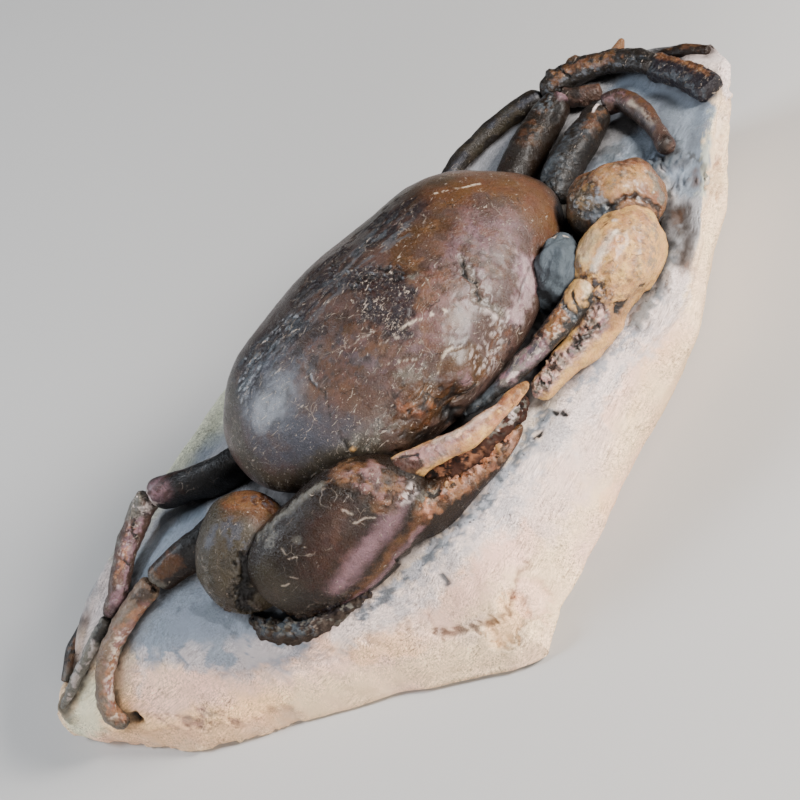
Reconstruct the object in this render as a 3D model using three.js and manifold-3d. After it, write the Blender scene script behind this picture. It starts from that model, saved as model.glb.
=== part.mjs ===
// A fossil crab lying in its stone matrix, in millimetres, +Z up.
// X runs across the crab's back, from its right side to its left, Y from its face to its rear.
// The block lies on its flat underside at z = 0, and the origin is the middle of its bounding box there.
//
// Three kinds of surface make every piece: a slab lofted along X, a dome, and a limb carried along a path.
// Each piece is cut by the pieces that it touches, swollen by GAP, so neighbours never share space.

import * as THREE from 'three';
import { mergeVertices } from 'three/addons/utils/BufferGeometryUtils.js';
import Module from 'manifold-3d';

const wasm = await Module();
wasm.setup();

// ---------- driving dimensions ----------

const GAP = 0.3;                      // clearance left between two pieces that touch
const ORIGIN = [13.5, 14.5, 0];       // shifts the crab's own middle so that the block's middle is the origin
const SECTION_STEP = 9;               // spacing of the block's cross sections along X
const PATH_STEP = 0.05;               // how far along its path, in stations, a limb's direction is taken
const WELD = 1e-4;                    // points nearer than this are one point

const CARAPACE = {
  centre: [-1, -6, 50],               // middle of the widest ring
  halfWidth: 56,
  halfLength: 36.4,
  dome: 29,                           // height of the back above the widest ring
  belly: 12,                          // depth of the shell below it
  squareness: 2.3,                    // 2 would make the outline an ellipse
  skew: 0.066,                        // the stone has pushed the shell out of square
  front: 0.042,                       // and its face stands forward of its rear
  corners: 0.02,                      // its four corners stand out a little
  domeRoundness: 0.9,                 // how fast the rings draw in above the widest one
  bellyRoundness: 0.6,                // and below it
};

// ---------- small maths ----------

const clamp = (v, low, high) => Math.min(high, Math.max(low, v));
const mix = (a, b, t) => a + (b - a) * t;

// Catmull-Rom value between rows of numbers, at t from 0 to rows.length - 1.
function spline(rows, t) {
  const i = clamp(Math.floor(t), 0, rows.length - 2);
  const f = t - i;
  const row = (k) => rows[clamp(k, 0, rows.length - 1)];
  return catmull(row(i - 1), row(i), row(i + 1), row(i + 2), f);
}

// The same around a closed ring of rows, at t from 0 to rows.length.
function ringSpline(rows, t) {
  const n = rows.length;
  const i = Math.floor(t);
  const row = (k) => rows[((k % n) + n) % n];
  return catmull(row(i - 1), row(i), row(i + 1), row(i + 2), t - i);
}

function catmull(a, b, c, d, f) {
  return b.map((v, k) => {
    const slopeIn = (c[k] - a[k]) / 2;
    const slopeOut = (d[k] - v) / 2;
    const f2 = f * f;
    const f3 = f2 * f;
    return (2 * f3 - 3 * f2 + 1) * v + (f3 - 2 * f2 + f) * slopeIn
      + (3 * f2 - 2 * f3) * c[k] + (f3 - f2) * slopeOut;
  });
}

// ---------- closed meshes ----------

// A closed geometry from rings of points, each ring running the same way round, with a point at each end.
function closedSkin(start, rings, end) {
  const count = rings[0].length;
  const points = [start, ...rings.flat(), end];
  const last = points.length - 1;
  const at = (ring, k) => 1 + ring * count + (k % count);
  const index = [];
  for (let k = 0; k < count; k++) {
    index.push(0, at(0, k), at(0, k + 1));
    for (let r = 0; r < rings.length - 1; r++) {
      index.push(at(r, k), at(r + 1, k), at(r, k + 1));
      index.push(at(r, k + 1), at(r + 1, k), at(r + 1, k + 1));
    }
    index.push(last, at(rings.length - 1, k + 1), at(rings.length - 1, k));
  }
  const geometry = new THREE.BufferGeometry();
  geometry.setAttribute('position', new THREE.Float32BufferAttribute(points.flat(), 3));
  geometry.setIndex(index);
  return geometry;
}

// Lumps and pits: [x, y, z, radius, height] swells the surface along its normal, or sinks it.
function withLumps(geometry, lumps) {
  geometry.computeVertexNormals();
  const position = geometry.attributes.position;
  const normal = geometry.attributes.normal;
  const p = new THREE.Vector3();
  const n = new THREE.Vector3();
  for (let i = 0; i < position.count; i++) {
    p.fromBufferAttribute(position, i);
    n.fromBufferAttribute(normal, i);
    let rise = 0;
    for (const [x, y, z, radius, height] of lumps) {
      const d2 = (p.x - x) ** 2 + (p.y - y) ** 2 + (p.z - z) ** 2;
      rise += height * Math.exp(-d2 / (radius * radius));
    }
    position.setXYZ(i, p.x + n.x * rise, p.y + n.y * rise, p.z + n.z * rise);
  }
  geometry.deleteAttribute('normal');
  return geometry;
}

// Breaks: [x, y, z, nx, ny, nz] flattens whatever stands beyond the plane through the point.
function withBreaks(geometry, breaks) {
  const position = geometry.attributes.position;
  const p = new THREE.Vector3();
  for (const [x, y, z, nx, ny, nz] of breaks) {
    const n = new THREE.Vector3(nx, ny, nz).normalize();
    const plane = new THREE.Plane().setFromNormalAndCoplanarPoint(n, new THREE.Vector3(x, y, z));
    for (let i = 0; i < position.count; i++) {
      p.fromBufferAttribute(position, i);
      const beyond = Math.max(0, plane.distanceToPoint(p));
      p.addScaledVector(n, -beyond);
      position.setXYZ(i, p.x, p.y, Math.max(0, p.z));
    }
  }
  return geometry;
}

// ---------- the block of stone ----------

// Cross sections of the block, from its left tip to its right one. Each row holds x, the underside's height,
// then the front foot's y, the front bulge's y and z, the front rim's y and z, the middle's z,
// the rear rim's y and z, and the rear foot's y.
const BLOCK = [
  [-148,  3,   10,   9,  5,   10,  9,  10,   15,  9,  15],
  [-142,  1,    3,   0,  5,    4, 12,  16,   15, 15,  18],
  [-135,  0,   -5,  -9,  4,   -3, 15,  19,   13, 20,  20],
  [-126,  0,  -15, -19,  4,   -8, 20,  25,   16, 26,  24],
  [-118,  0,  -24, -29,  4,  -13, 24,  30,   21, 30,  28],
  [-107,  0,  -31, -37,  4,  -19, 28,  35,   23, 33,  30],
  [ -92,  0,  -40, -44,  4,  -30, 29,  38,   26, 36,  32],
  [ -77,  0,  -49, -53,  4,  -41, 26,  40,   31, 38,  36],
  [ -64,  0,  -57, -61,  4,  -49, 24,  42,   37, 39,  42],
  [ -51,  0,  -67, -71,  4,  -54, 24,  43,   43, 39,  48],
  [ -39,  0,  -75, -80,  4,  -58, 25,  43,   46, 39,  52],
  [ -27,  0,  -82, -88,  5,  -59, 27,  43,   48, 38,  54],
  [ -20,  0,  -76, -83,  5,  -58, 28,  43,   48, 38,  54],
  [ -15,  0,  -72, -77,  5,  -57, 28,  43,   48, 38,  54],
  [  -1,  0,  -64, -71,  6,  -55, 28,  43,   48, 38,  54],
  [  22,  0,  -50, -60,  9,  -51, 29,  43,   49, 39,  54],
  [  43,  0,  -38, -53, 12,  -48, 30,  43,   49, 40,  54],
  [  61,  0,  -25, -49, 18,  -47, 31,  42,   49, 41,  54],
  [  78,  0,   -9, -32, 21,  -36, 34,  42,   48, 41,  51],
  [  91,  5,    3, -23, 24,  -22, 38,  41,   45, 41,  46],
  [ 100, 13,    8, -13, 28,  -13, 40,  41,   41, 41,  40],
  [ 108, 20,   10,  -5, 32,   -5, 41,  41,   34, 42,  32],
  [ 115, 26,   13,   3, 34,    3, 40,  41,   25, 42,  23],
  [ 121, 31,   16,  12, 35,   12, 38,  39,   19, 40,  19],
];

// How many facets each stretch of a cross section gets, from the middle of the underside round the front.
const SECTION_FACETS = [2, 1, 2, 3, 3, 3, 3, 3, 2, 2];

// Knobs of the same stone, as limbs joined to the block: one beside the left claw, a crumbly bank under
// the right palm, the crumbs between that claw's fingers, and a ledge on the front wall.
const BLOCK_KNOBS = [
  [[36, -25, 37, 5, 5.5], [38, -28.5, 43, 6, 6], [40.5, -30.5, 49, 6.5, 5.5], [43.5, -29, 52.5, 6.2, 5.5],
    [47.5, -23, 51, 4.8, 4.4], [52, -15, 44.5, 4, 4]],
  [[-81, -35, 31, 2.5, 2.5], [-79, -41, 29, 3.2, 3.2], [-75, -46, 28, 3.4, 3.4], [-68, -50.5, 27.8, 2.2, 2.4],
    [-59, -53, 27, 1.6, 1.7], [-51, -54, 27.5, 1.3, 1.4]],
  [[-24, -47, 38, 3, 5], [-14, -48.5, 38.5, 4.5, 6], [-4, -49, 38.5, 4.5, 5.5], [6, -48.5, 38.5, 3.5, 4.5],
    [14, -47.5, 38, 2.5, 3]],
  [[-9, -67, 3, 4, 3], [-1, -66, 5, 5, 4], [7, -61, 6, 3, 3]],
];
const KNOB = { sides: 8, steps: 6, blunt: 0.3 };

const BLOCK_BREAKS = [
  [-26, -84, 14, -0.35, -0.94, 0.35],
];

// Where the extra points of a cross section lie: shares of the way from one named point to the next.
const FRONT_WALL = { y: 0.55, z: 0.62 };    // from the bulge to the front rim
const FRONT_TOP = { y: 0.4, z: 0.6 };       // from the front rim to the middle
const REAR_TOP = { y: 0.4, z: 0.5 };        // from the rear rim to the middle

function blockRing(row) {
  const [x, floor, foot, bulgeY, bulgeZ, rimY, rimZ, middleZ, rearY, rearZ, rearFoot] = row;
  const middleY = (rimY + rearY) / 2;
  return [
    [x, (foot + rearFoot) / 2, floor],
    [x, foot, floor],
    [x, bulgeY, bulgeZ],
    [x, mix(bulgeY, rimY, FRONT_WALL.y), mix(bulgeZ, rimZ, FRONT_WALL.z)],
    [x, rimY, rimZ],
    [x, mix(rimY, middleY, FRONT_TOP.y), mix(rimZ, middleZ, FRONT_TOP.z)],
    [x, middleY, middleZ],
    [x, mix(rearY, middleY, REAR_TOP.y), mix(rearZ, middleZ, REAR_TOP.z)],
    [x, rearY, rearZ],
    [x, rearFoot, floor],
  ];
}

function matrix() {
  const rings = [];
  const [from, to] = [BLOCK[0][0], BLOCK.at(-1)[0]];
  const count = Math.round((to - from) / SECTION_STEP);
  for (let i = 0; i <= count; i++) {
    const x = mix(from, to, i / count);
    const k = i === count ? BLOCK.length - 2 : BLOCK.findIndex((row) => row[0] > x) - 1;
    const row = spline(BLOCK, k + (x - BLOCK[k][0]) / (BLOCK[k + 1][0] - BLOCK[k][0]));
    row[0] = x;
    const corners = blockRing(row);
    const ring = [];
    SECTION_FACETS.forEach((facets, span) => {
      for (let f = 0; f < facets; f++) ring.push(ringSpline(corners, span + f / facets));
    });
    rings.push(ring.map(([px, py, pz]) => [px, py, Math.max(0, pz)]));
  }
  const middle = (ring) => [0, 1, 2].map((axis) => ring.reduce((sum, p) => sum + p[axis], 0) / ring.length);
  return withBreaks(closedSkin(middle(rings[0]), rings, middle(rings.at(-1))), BLOCK_BREAKS);
}

// ---------- the carapace ----------

// Swellings and dents of the back: x, y, z, radius and height.
const CARAPACE_LUMPS = [
  [-10, -44, 57, 5.5, 2.4], [4, -43, 57, 6.5, 2.8], [-18, -43, 54, 5, 1.6],   // torn shell over the face
  [17, -40, 54, 6, -1.6], [-3, -44, 51, 5, -1.4],
  [30, 6, 71, 14, 1.2], [50, -6, 58, 12, 1], [-30, 4, 70, 18, -1],            // the swellings of the back
  [52, 11.5, 59, 14, -2.4], [-38, 10, 66, 14, 1.6], [9, 12, 75.5, 13, -2],
];
const CARAPACE_SIDES = 40;
const CARAPACE_LEVELS = [76, 63, 51, 40, 29, 18, 8, 0, -14, -32, -55];

// How far the outline reaches at a bearing, as a share of the half width and half length.
function carapaceReach(bearing) {
  const { squareness, skew, front, corners } = CARAPACE;
  const across = Math.abs(Math.cos(bearing)) ** squareness;
  const back = Math.abs(Math.sin(bearing)) ** squareness;
  const wave = skew * Math.sin(2 * bearing) + front * Math.sin(3 * bearing) + corners * Math.cos(4 * bearing);
  return (across + back) ** (-1 / squareness) * (1 + wave);
}

function carapace() {
  const { centre, halfWidth, halfLength, dome, belly, domeRoundness, bellyRoundness } = CARAPACE;
  const [x, y, z] = centre;
  const rings = CARAPACE_LEVELS.map((level) => {
    const angle = THREE.MathUtils.degToRad(level);
    const above = level > 0;
    const shrink = Math.cos(angle) ** (above ? domeRoundness : bellyRoundness);
    const height = (above ? dome : belly) * Math.sin(angle);
    return Array.from({ length: CARAPACE_SIDES }, (_, k) => {
      const bearing = 2 * Math.PI * k / CARAPACE_SIDES;
      const reach = shrink * carapaceReach(bearing);
      return [x + halfWidth * reach * Math.cos(bearing), y + halfLength * reach * Math.sin(bearing), z + height];
    });
  });
  return withLumps(closedSkin([x, y, z + dome], rings, [x, y, z - belly]), CARAPACE_LUMPS);
}

// ---------- claws and legs ----------

// A limb carried along a path. Each station holds x, y, z, then half the width and half the height there.
// The section is an ellipse, squarer for a larger squareness, and both ends close in a round of the blunt share.
function limb(stations, { sides, steps, squareness = 2, blunt = 0.1 }) {
  const end = stations.length - 1;
  const power = (v) => Math.sign(v) * Math.abs(v) ** (2 / squareness);
  const rings = [];
  for (let i = 0; i < steps; i++) {
    const u = 0.5 - 0.5 * Math.cos(Math.PI * (i + 0.5) / steps);
    const [x, y, z, halfWidth, halfHeight] = spline(stations, u * end);
    const before = spline(stations, Math.max(0, u * end - PATH_STEP));
    const after = spline(stations, Math.min(end, u * end + PATH_STEP));
    const along = new THREE.Vector3(after[0] - before[0], after[1] - before[1], after[2] - before[2]).normalize();
    const side = along.clone().cross(new THREE.Vector3(0, 0, 1)).normalize();
    const up = side.clone().cross(along);
    const fromEnd = Math.min(u, 1 - u);
    const closing = fromEnd < blunt ? Math.sqrt(1 - (1 - fromEnd / blunt) ** 2) : 1;
    const ring = [];
    for (let k = 0; k < sides; k++) {
      const a = 2 * Math.PI * k / sides;
      const across = halfWidth * closing * power(Math.cos(a));
      const rise = halfHeight * closing * power(Math.sin(a));
      ring.push([
        x + side.x * across + up.x * rise,
        y + side.y * across + up.y * rise,
        z + side.z * across + up.z * rise,
      ]);
    }
    rings.push(ring);
  }
  return closedSkin(stations[0].slice(0, 3), rings, stations[end].slice(0, 3));
}

const WRIST = { sides: 14, steps: 9, squareness: 2.1, blunt: 0.3 };
const RIGHT_PALM_FORM = { sides: 16, steps: 15, squareness: 2.1, blunt: 0.07 };
const LEFT_PALM_FORM = { sides: 14, steps: 13, squareness: 2.1, blunt: 0.08 };
const FINGER = { sides: 10, steps: 9, blunt: 0.08 };
const THIGH = { sides: 10, steps: 6, squareness: 2.2, blunt: 0.12 };
const SHIN = { sides: 8, steps: 8, blunt: 0.08 };

// The right claw is the larger. Its palm runs on into the fixed finger.
const RIGHT_WRIST = [
  [-84, -31, 34,  7,  8],
  [-76, -29, 39, 11.5, 13.5],
  [-66, -24, 45.2, 12, 14.5],
  [-56, -20, 47,  7,  8],
];
const RIGHT_PALM = [
  [-71, -35, 34.5, 8.5, 11],
  [-62, -40, 38, 12, 16],
  [-50, -44, 40.3, 13, 17.8],
  [-38, -46, 42, 12.2, 17.6],
  [-29.5, -48.5, 38.6, 10.8, 14],
  [-23.5, -51, 35, 7.8, 8.4],
  [-17, -52.5, 34.4, 5.4, 6],
  [-10.5, -53, 34.2, 3.6, 3.8],
  [ -3, -53, 34.4, 2.6, 2.8],
  [  8, -51, 35.5, 1.4, 1.5],
];
const RIGHT_FINGER = [
  [-27, -47, 47, 4, 5.5],
  [-21, -49.5, 48, 3.6, 4.4],
  [-13, -52, 48.2, 3.3, 3.5],
  [ -5, -54, 47, 3.3, 3.2],
  [  3, -54, 46.8, 2.7, 2.6],
  [ 10, -53, 46.4, 2, 2],
  [ 16.5, -51, 45.5, 1.1, 1.2],
];

const LEFT_WRIST = [
  [56, -13, 44,  8.5,  9.5],
  [63.5, -18, 46.3, 11.5, 12],
  [71, -22, 46.3, 11, 11.8],
  [77, -27, 42,  6.5,  7],
];
const LEFT_PALM = [
  [70, -28, 41,  7,  8],
  [62, -32, 44, 10, 11.5],
  [54, -36, 44.2, 10.2, 12],
  [46, -40, 41.2,  7.2,  8.2],
  [38, -44, 38, 4, 5.5],
  [27, -45, 37.2, 3.5, 4.7],
  [16, -46, 36.1, 2.5, 3.7],
];
const LEFT_FINGER = [
  [50, -38, 46, 5, 4.5],
  [43, -40, 47.5, 4.6, 4.2],
  [36, -42, 47, 4.2, 3.6],
  [27, -43.5, 46.5, 3.4, 3],
  [14, -44.5, 45.5, 2.6, 2.4],
  [ -2, -44, 45, 1.4, 1.4],
];

// The walking legs lie half sunk in the stone. Thighs are deep blades, shins are round.
const FLAT_BAR = { sides: 8, steps: 8, squareness: 3, blunt: 0.05 };
const FLAT_TIP = { sides: 8, steps: 7, squareness: 4, blunt: 0.04 };
const SLIVER = { sides: 8, steps: 7 };
const LEGS = {
  right_rear_leg_thigh: [[
    [-50,  0, 45, 4, 7], [-61, 2, 46, 4, 7], [-72, 8, 47, 3.8, 6], [-84, 15, 48, 3.6, 4.6],
  ], THIGH],
  right_rear_leg_shin: [[
    [-84, 15, 48, 3.8, 4], [-90, 16, 45, 3.4, 3.6], [-98, 13, 41.5, 3.2, 3.4],
    [-107, 5, 38, 3, 3], [-115, 2, 34, 2, 2.2],
  ], SHIN],
  right_rear_leg_tip: [[
    [-115, 2, 34, 2.2, 2.2], [-121, 4, 30, 2, 2], [-129, 5, 25.5, 1.8, 1.8], [-138, 6, 19.5, 1.5, 1.6],
    [-144, 8, 15, 1, 1],
  ], SHIN],
  right_front_leg_thigh: [[
    [-70, -11, 43, 4, 6], [-79, -12, 43, 4, 6], [-88, -9, 42, 4, 5.5], [-97, -7, 40, 3.6, 4.4],
  ], THIGH],
  right_front_leg_shin: [[
    [-97, -7, 40, 3.7, 3.8], [-104, -5, 37.5, 3.3, 3.2], [-113, -4, 33.5, 3.1, 2.9], [-121, -4, 29, 3.1, 2.9],
    [-128, -6, 23, 3.1, 2.9], [-132, -8, 16, 3, 2.9], [-130, -11, 11, 2.5, 2.5],
  ], SHIN],
  right_outer_leg_tip: [[
    [-122, 17, 27, 1.6, 2.6], [-130, 15, 23, 1.8, 3], [-138, 11, 18.5, 1.4, 2.4],
  ], FLAT_TIP],

  left_rear_leg_thigh: [[
    [28, 36, 44, 2.8, 3], [43, 46, 45, 3, 3.2], [60, 48, 45.5, 3.2, 3.4], [77, 45, 46, 3.4, 3.6],
  ], THIGH],
  left_rear_leg_shin: [[
    [77, 45, 46.5, 3.6, 4], [86, 43, 46.5, 3.8, 3.8], [95, 38.5, 46, 3.9, 3.6], [102, 31, 45, 3.8, 3.4],
    [105, 22, 44.5, 3.4, 3],
  ], SHIN],
  left_rear_leg_tip: [[
    [105, 24, 43.5, 3.6, 3], [107.5, 14, 43.5, 3.8, 3], [109.5, 5, 43.2, 4.3, 2.8], [109.8, -1, 42.6, 4.2, 2.4],
  ], FLAT_BAR],
  left_middle_leg_thigh: [[
    [50, 20, 45, 5.3, 6], [58, 26, 46, 5.3, 6], [69, 32, 46.5, 4.9, 5.4], [80, 37, 47, 4, 4.4],
  ], THIGH],
  left_middle_leg_shin: [[
    [80, 37, 46.5, 3, 3.2], [84, 34, 45, 2.8, 3], [90, 31, 43.5, 2.4, 2.4],
  ], SHIN],
  left_front_leg_thigh: [[
    [56, 5, 43.5, 5.2, 5.5], [64, 10, 45.6, 5.3, 5.5], [74, 14.5, 46.3, 4.9, 5], [85, 21, 46, 3.7, 4],
  ], THIGH],
  left_front_leg_shin: [[
    [86, 22, 45.5, 3.3, 3.4], [91, 19, 45, 3.2, 3.2], [92, 10, 44.5, 3.2, 3.2], [91, 0, 43.8, 3, 3],
    [89, -9, 42.6, 2.4, 2.4],
  ], SHIN],
  left_outer_leg_spike: [[
    [97, 42, 41.5, 2.6, 3], [101, 41, 43.5, 2.2, 2.4], [105, 41, 46, 0.7, 0.7],
  ], SLIVER],
  left_outer_leg_strip: [[
    [109, 30, 40.6, 2, 1.8], [115, 22.5, 41, 2.2, 2], [119.6, 17, 40, 1.6, 1.6],
  ], SLIVER],
};

// ---------- cutting the pieces to each other ----------

// A solid body from a geometry whose skin is pushed out by grow.
function solid(geometry, grow = 0) {
  const skin = geometry.clone();
  if (grow) {
    skin.computeVertexNormals();
    const position = skin.attributes.position;
    for (let i = 0; i < position.array.length; i++) position.array[i] += skin.attributes.normal.array[i] * grow;
    skin.deleteAttribute('normal');
  }
  const merged = mergeVertices(skin, WELD);
  return new wasm.Manifold(new wasm.Mesh({
    numProp: 3,
    vertProperties: new Float32Array(merged.attributes.position.array),
    triVerts: new Uint32Array(merged.index.array),
  }));
}

function geometryOf(body) {
  const mesh = body.getMesh();
  const geometry = new THREE.BufferGeometry();
  geometry.setAttribute('position', new THREE.Float32BufferAttribute(mesh.vertProperties, 3));
  geometry.setIndex([...mesh.triVerts]);
  return geometry;
}

const largest = (bodies) => bodies.reduce((a, b) => (b.volume() > a.volume() ? b : a));

const COLOURS = {
  matrix: [0xc9b8a4, 0.85],
  carapace: [0x6b5148, 0.35],
  right_claw_wrist: [0x5c4a30, 0.3],
  right_claw_palm: [0x5a3d28, 0.3],
  right_claw_finger: [0xa9764a, 0.35],
  left_claw_wrist: [0x8a6a44, 0.4],
  left_claw_palm: [0xc2a468, 0.4],
  left_claw_finger: [0x6a5a4a, 0.4],
};
const LEG_COLOUR = [0x5a4636, 0.45];

const limbs = (table) => Object.fromEntries(
  Object.entries(table).map(([name, [stations, form]]) => [name, limb(stations, form)]),
);

// In the order of cutting: each piece gives way to those before it, and the stone to them all.
const skins = {
  carapace: carapace(),
  right_claw_palm: limb(RIGHT_PALM, RIGHT_PALM_FORM),
  right_claw_wrist: limb(RIGHT_WRIST, WRIST),
  right_claw_finger: limb(RIGHT_FINGER, FINGER),
  left_claw_palm: limb(LEFT_PALM, LEFT_PALM_FORM),
  left_claw_wrist: limb(LEFT_WRIST, WRIST),
  left_claw_finger: limb(LEFT_FINGER, FINGER),
  ...limbs(LEGS),
  matrix: matrix(),
};

const part = new THREE.Group();
part.position.set(...ORIGIN);
const swollen = [];
for (const [name, skin] of Object.entries(skins)) {
  let body = solid(skin);
  if (name === 'matrix') BLOCK_KNOBS.forEach((knob) => { body = body.add(solid(limb(knob, KNOB))); });
  for (const neighbour of swollen) body = body.subtract(neighbour);
  body = largest(body.decompose());
  swollen.push(solid(skin, GAP));
  const [color, roughness] = COLOURS[name] ?? LEG_COLOUR;
  const material = new THREE.MeshStandardMaterial({ color, roughness, metalness: 0 });
  const mesh = new THREE.Mesh(geometryOf(body), material);
  mesh.name = name;
  part.add(mesh);
}

export default part;
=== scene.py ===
"""A fossil crab in its block of ground stone: the looks of every piece, over its fixed solids.

All tables are in millimetres in the crab's own frame: X across its back, Y from its face to its rear, Z up.
ORIGIN shifts them to the part's frame, whose origin is the middle of the block's box on its flat underside.
"""

from typing import NamedTuple

import bpy
import numpy as np
from bpy.props import FloatProperty, FloatVectorProperty, PointerProperty
from mathutils import Matrix, Vector


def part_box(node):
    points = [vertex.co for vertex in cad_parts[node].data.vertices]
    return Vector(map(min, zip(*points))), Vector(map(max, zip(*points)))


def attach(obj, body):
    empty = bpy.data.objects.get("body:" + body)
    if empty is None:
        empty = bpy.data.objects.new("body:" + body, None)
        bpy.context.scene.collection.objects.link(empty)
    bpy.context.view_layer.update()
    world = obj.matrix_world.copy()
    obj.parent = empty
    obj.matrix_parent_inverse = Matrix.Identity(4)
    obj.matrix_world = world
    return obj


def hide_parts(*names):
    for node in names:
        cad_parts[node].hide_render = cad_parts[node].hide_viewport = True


bl_info = {
    "name": "Fossil crab",
    "version": (1, 0, 0),
    "blender": (4, 5, 0),
    "location": "3D View > Sidebar > Fossil",
    "description": "Makes a fossil crab, its stone and a small studio around them",
    "category": "Add Mesh",
}

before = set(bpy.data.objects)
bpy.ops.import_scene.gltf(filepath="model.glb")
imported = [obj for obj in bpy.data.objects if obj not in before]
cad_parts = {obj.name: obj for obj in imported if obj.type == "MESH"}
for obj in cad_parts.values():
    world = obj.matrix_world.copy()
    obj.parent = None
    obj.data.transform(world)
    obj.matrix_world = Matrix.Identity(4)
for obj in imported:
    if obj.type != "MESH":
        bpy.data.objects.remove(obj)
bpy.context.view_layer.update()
BACK_LOW, BACK_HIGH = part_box("carapace")

MM = 0.001
ORIGIN = np.array([13.5, 14.5, 0.0])


# ---------- colours and sizes that a user may change ----------


def paint(code):
    """Linear colour values of a six-digit sRGB code."""
    s = np.array([int(code[i:i + 2], 16) for i in (0, 2, 4)]) / 255
    return tuple(np.where(s <= 0.04045, s / 12.92, ((s + 0.055) / 1.055) ** 2.4))


def colour(label, code, description):
    """A colour property whose default is an sRGB code."""
    return FloatVectorProperty(name=label, description=description, subtype="COLOR", size=3, min=0, max=1,
                               default=paint(code))


class FossilColours(bpy.types.PropertyGroup):
    """Colours of the stone and of the mineralised shell."""

    cream: colour("Cream stone", "e6c7a2", "Lower part of the ground front wall")
    warm: colour("Warm stone", "f0c08e", "Orange-cream stone at the right legs")
    pink: colour("Pinkish stone", "e6bda8", "Upper part of the ground front wall")
    # frost also paints highlights and glints on the back's right side and on the right shins
    frost: colour("Frosted stone", "d8c7c1", "Freshly scraped stone beside the claws")
    slate: colour("Slate stone", "7e8894", "Unaltered stone around the legs")
    deep_slate: colour("Deep slate", "485056", "Stone lump and shaded stone")
    green: colour("Greenish stone", "d2d0b2", "Ends of the block")
    crumb: colour("Crumbly stain", "2c221b", "Dark crumbly matter at the claws")
    # soot also paints shade: the dark at the bottom of cracks, gaps, creases and hollows, and the shadows
    # cast on the right thighs; elsewhere it is dark grains on the shell
    soot: colour("Soot", "0d0b0a", "Bottom of cracks and gaps")
    mauve: colour("Mauve shell", "42312a", "Main colour of the back")
    rust: colour("Rust shell", "52351f", "Left end of the back and its rear edge")
    amber: colour("Amber", "3e2610", "Broken shell over the face")
    olive: colour("Olive shell", "352e22", "Lower rim of the back and the wrists")
    # film also paints sheen: the bluish-grey sheen over the back's left side, and highlights on the right
    # wrist, the left rear thigh and the left front shin
    film: colour("Grey film", "3b3d45", "Thin grey film on the back")
    plum: colour("Black plum", "1a161a", "Granular patch on the back")
    umber: colour("Umber shell", "190f07", "Right palm")
    chestnut: colour("Chestnut", "2d1509", "Middle of the right palm, and rusty legs")
    orange: colour("Orange shell", "835434", "Lumps on the fingers")
    salmon: colour("Salmon shell", "9c6a4c", "Right fixed finger")
    # blush also paints the reflection band low on the right palm and a sheen on the back's right side
    blush: colour("Blush", "806269", "Band on the right palm, and shin cores")
    honey: colour("Honey", "c0935a", "Left palm and right moving finger")
    # ivory also paints highlights and glints on the right moving finger and the left palm
    ivory: colour("Ivory", "d8c6b2", "Worn shell and its pale flecks")
    # fleck also paints a highlight streak along the left front shin
    fleck: colour("Fleck", "a89a8c", "Scratches and crumbs of stone left on the shell")
    tan: colour("Tan", "725036", "Left wrist")
    bark: colour("Bark", "191410", "Left moving finger and most legs")
    # ash also paints the reflection along the right palm's top ridge
    ash: colour("Ash", "636058", "Grey outer side of the shins")


class FossilSizes(bpy.types.PropertyGroup):
    """Sizes of the back shell and the strength of the fine relief."""

    half_width: FloatProperty(name="Half width", description="Half the width of the back shell",
                              default=0.056, min=0.03, max=0.09, unit="LENGTH")
    half_length: FloatProperty(name="Half length", description="Half the length of the back shell",
                               default=0.0364, min=0.02, max=0.06, unit="LENGTH")
    dome: FloatProperty(name="Dome", description="Height of the back above its widest ring",
                        default=BACK_HIGH.z - 0.05, min=0.01, max=0.05, unit="LENGTH")
    belly: FloatProperty(name="Belly", description="Depth of the shell below its widest ring",
                         default=0.05 - BACK_LOW.z, min=0.004, max=0.03, unit="LENGTH")
    relief: FloatProperty(name="Relief", description="Strength of the fine relief on every piece",
                          default=1.0, min=0, max=2)


class FossilStudio(bpy.types.PropertyGroup):
    """Floor and lights."""

    floor: colour("Floor", "bab8b5", "Plain pale floor")
    key: FloatProperty(name="Key light", description="Power of the main soft light at the left claw's side",
                       default=22, min=0, max=100, unit="POWER")
    front: FloatProperty(name="Front light", description="Power of the low soft light before the face",
                         default=9, min=0, max=100, unit="POWER")
    rear: FloatProperty(name="Rear light", description="Power of the cool soft light behind the right legs",
                        default=11, min=0, max=100, unit="POWER")
    sky: FloatProperty(name="Surroundings", description="Strength of the even light from all round",
                       default=0.07, min=0, max=3)


# ---------- maths on whole arrays ----------


AXIS_FACTORS = (374761393, 668265263, 2246822519)     # large odd numbers, so that no two places agree
SEED_FACTOR, SEED_START = 3266489, 12345
MIXING = ((13, 1274126177), (15, 2654435761))         # how far the bits are shifted, and what follows
LARGEST = 2.0 ** 32 - 1


def lattice(cell, seed):
    """A repeatable value from 0 to 1 for each whole-numbered place: three products, mixed by shifts."""
    h = sum(cell[:, axis].astype(np.uint32) * np.uint32(factor) for axis, factor in enumerate(AXIS_FACTORS))
    h = h + np.uint32(seed * SEED_FACTOR + SEED_START)
    for shift, factor in MIXING:
        h = (h ^ (h >> np.uint32(shift))) * np.uint32(factor)
    return (h ^ (h >> np.uint32(16))) / LARGEST


def swell(points, size, seed):
    """Smooth noise from -1 to 1, with swellings about size apart: the eight corners of each cell, blended."""
    place = points / size
    cell = np.floor(place)
    f = place - cell
    f = f * f * (3 - 2 * f)
    cell = cell.astype(np.int64)
    total = np.zeros(len(points))
    for corner in np.ndindex(2, 2, 2):
        share = np.prod(np.where(corner, f, 1 - f), axis=1)
        total += share * lattice(cell + corner, seed)
    return 2 * total - 1


def rough(points, size, octaves, seed):
    """Noise summed over octaves, each half the size and half the height of the one before."""
    return sum(swell(points, size / 2 ** o, seed + 7 * o) / 2 ** o for o in range(octaves))


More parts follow.
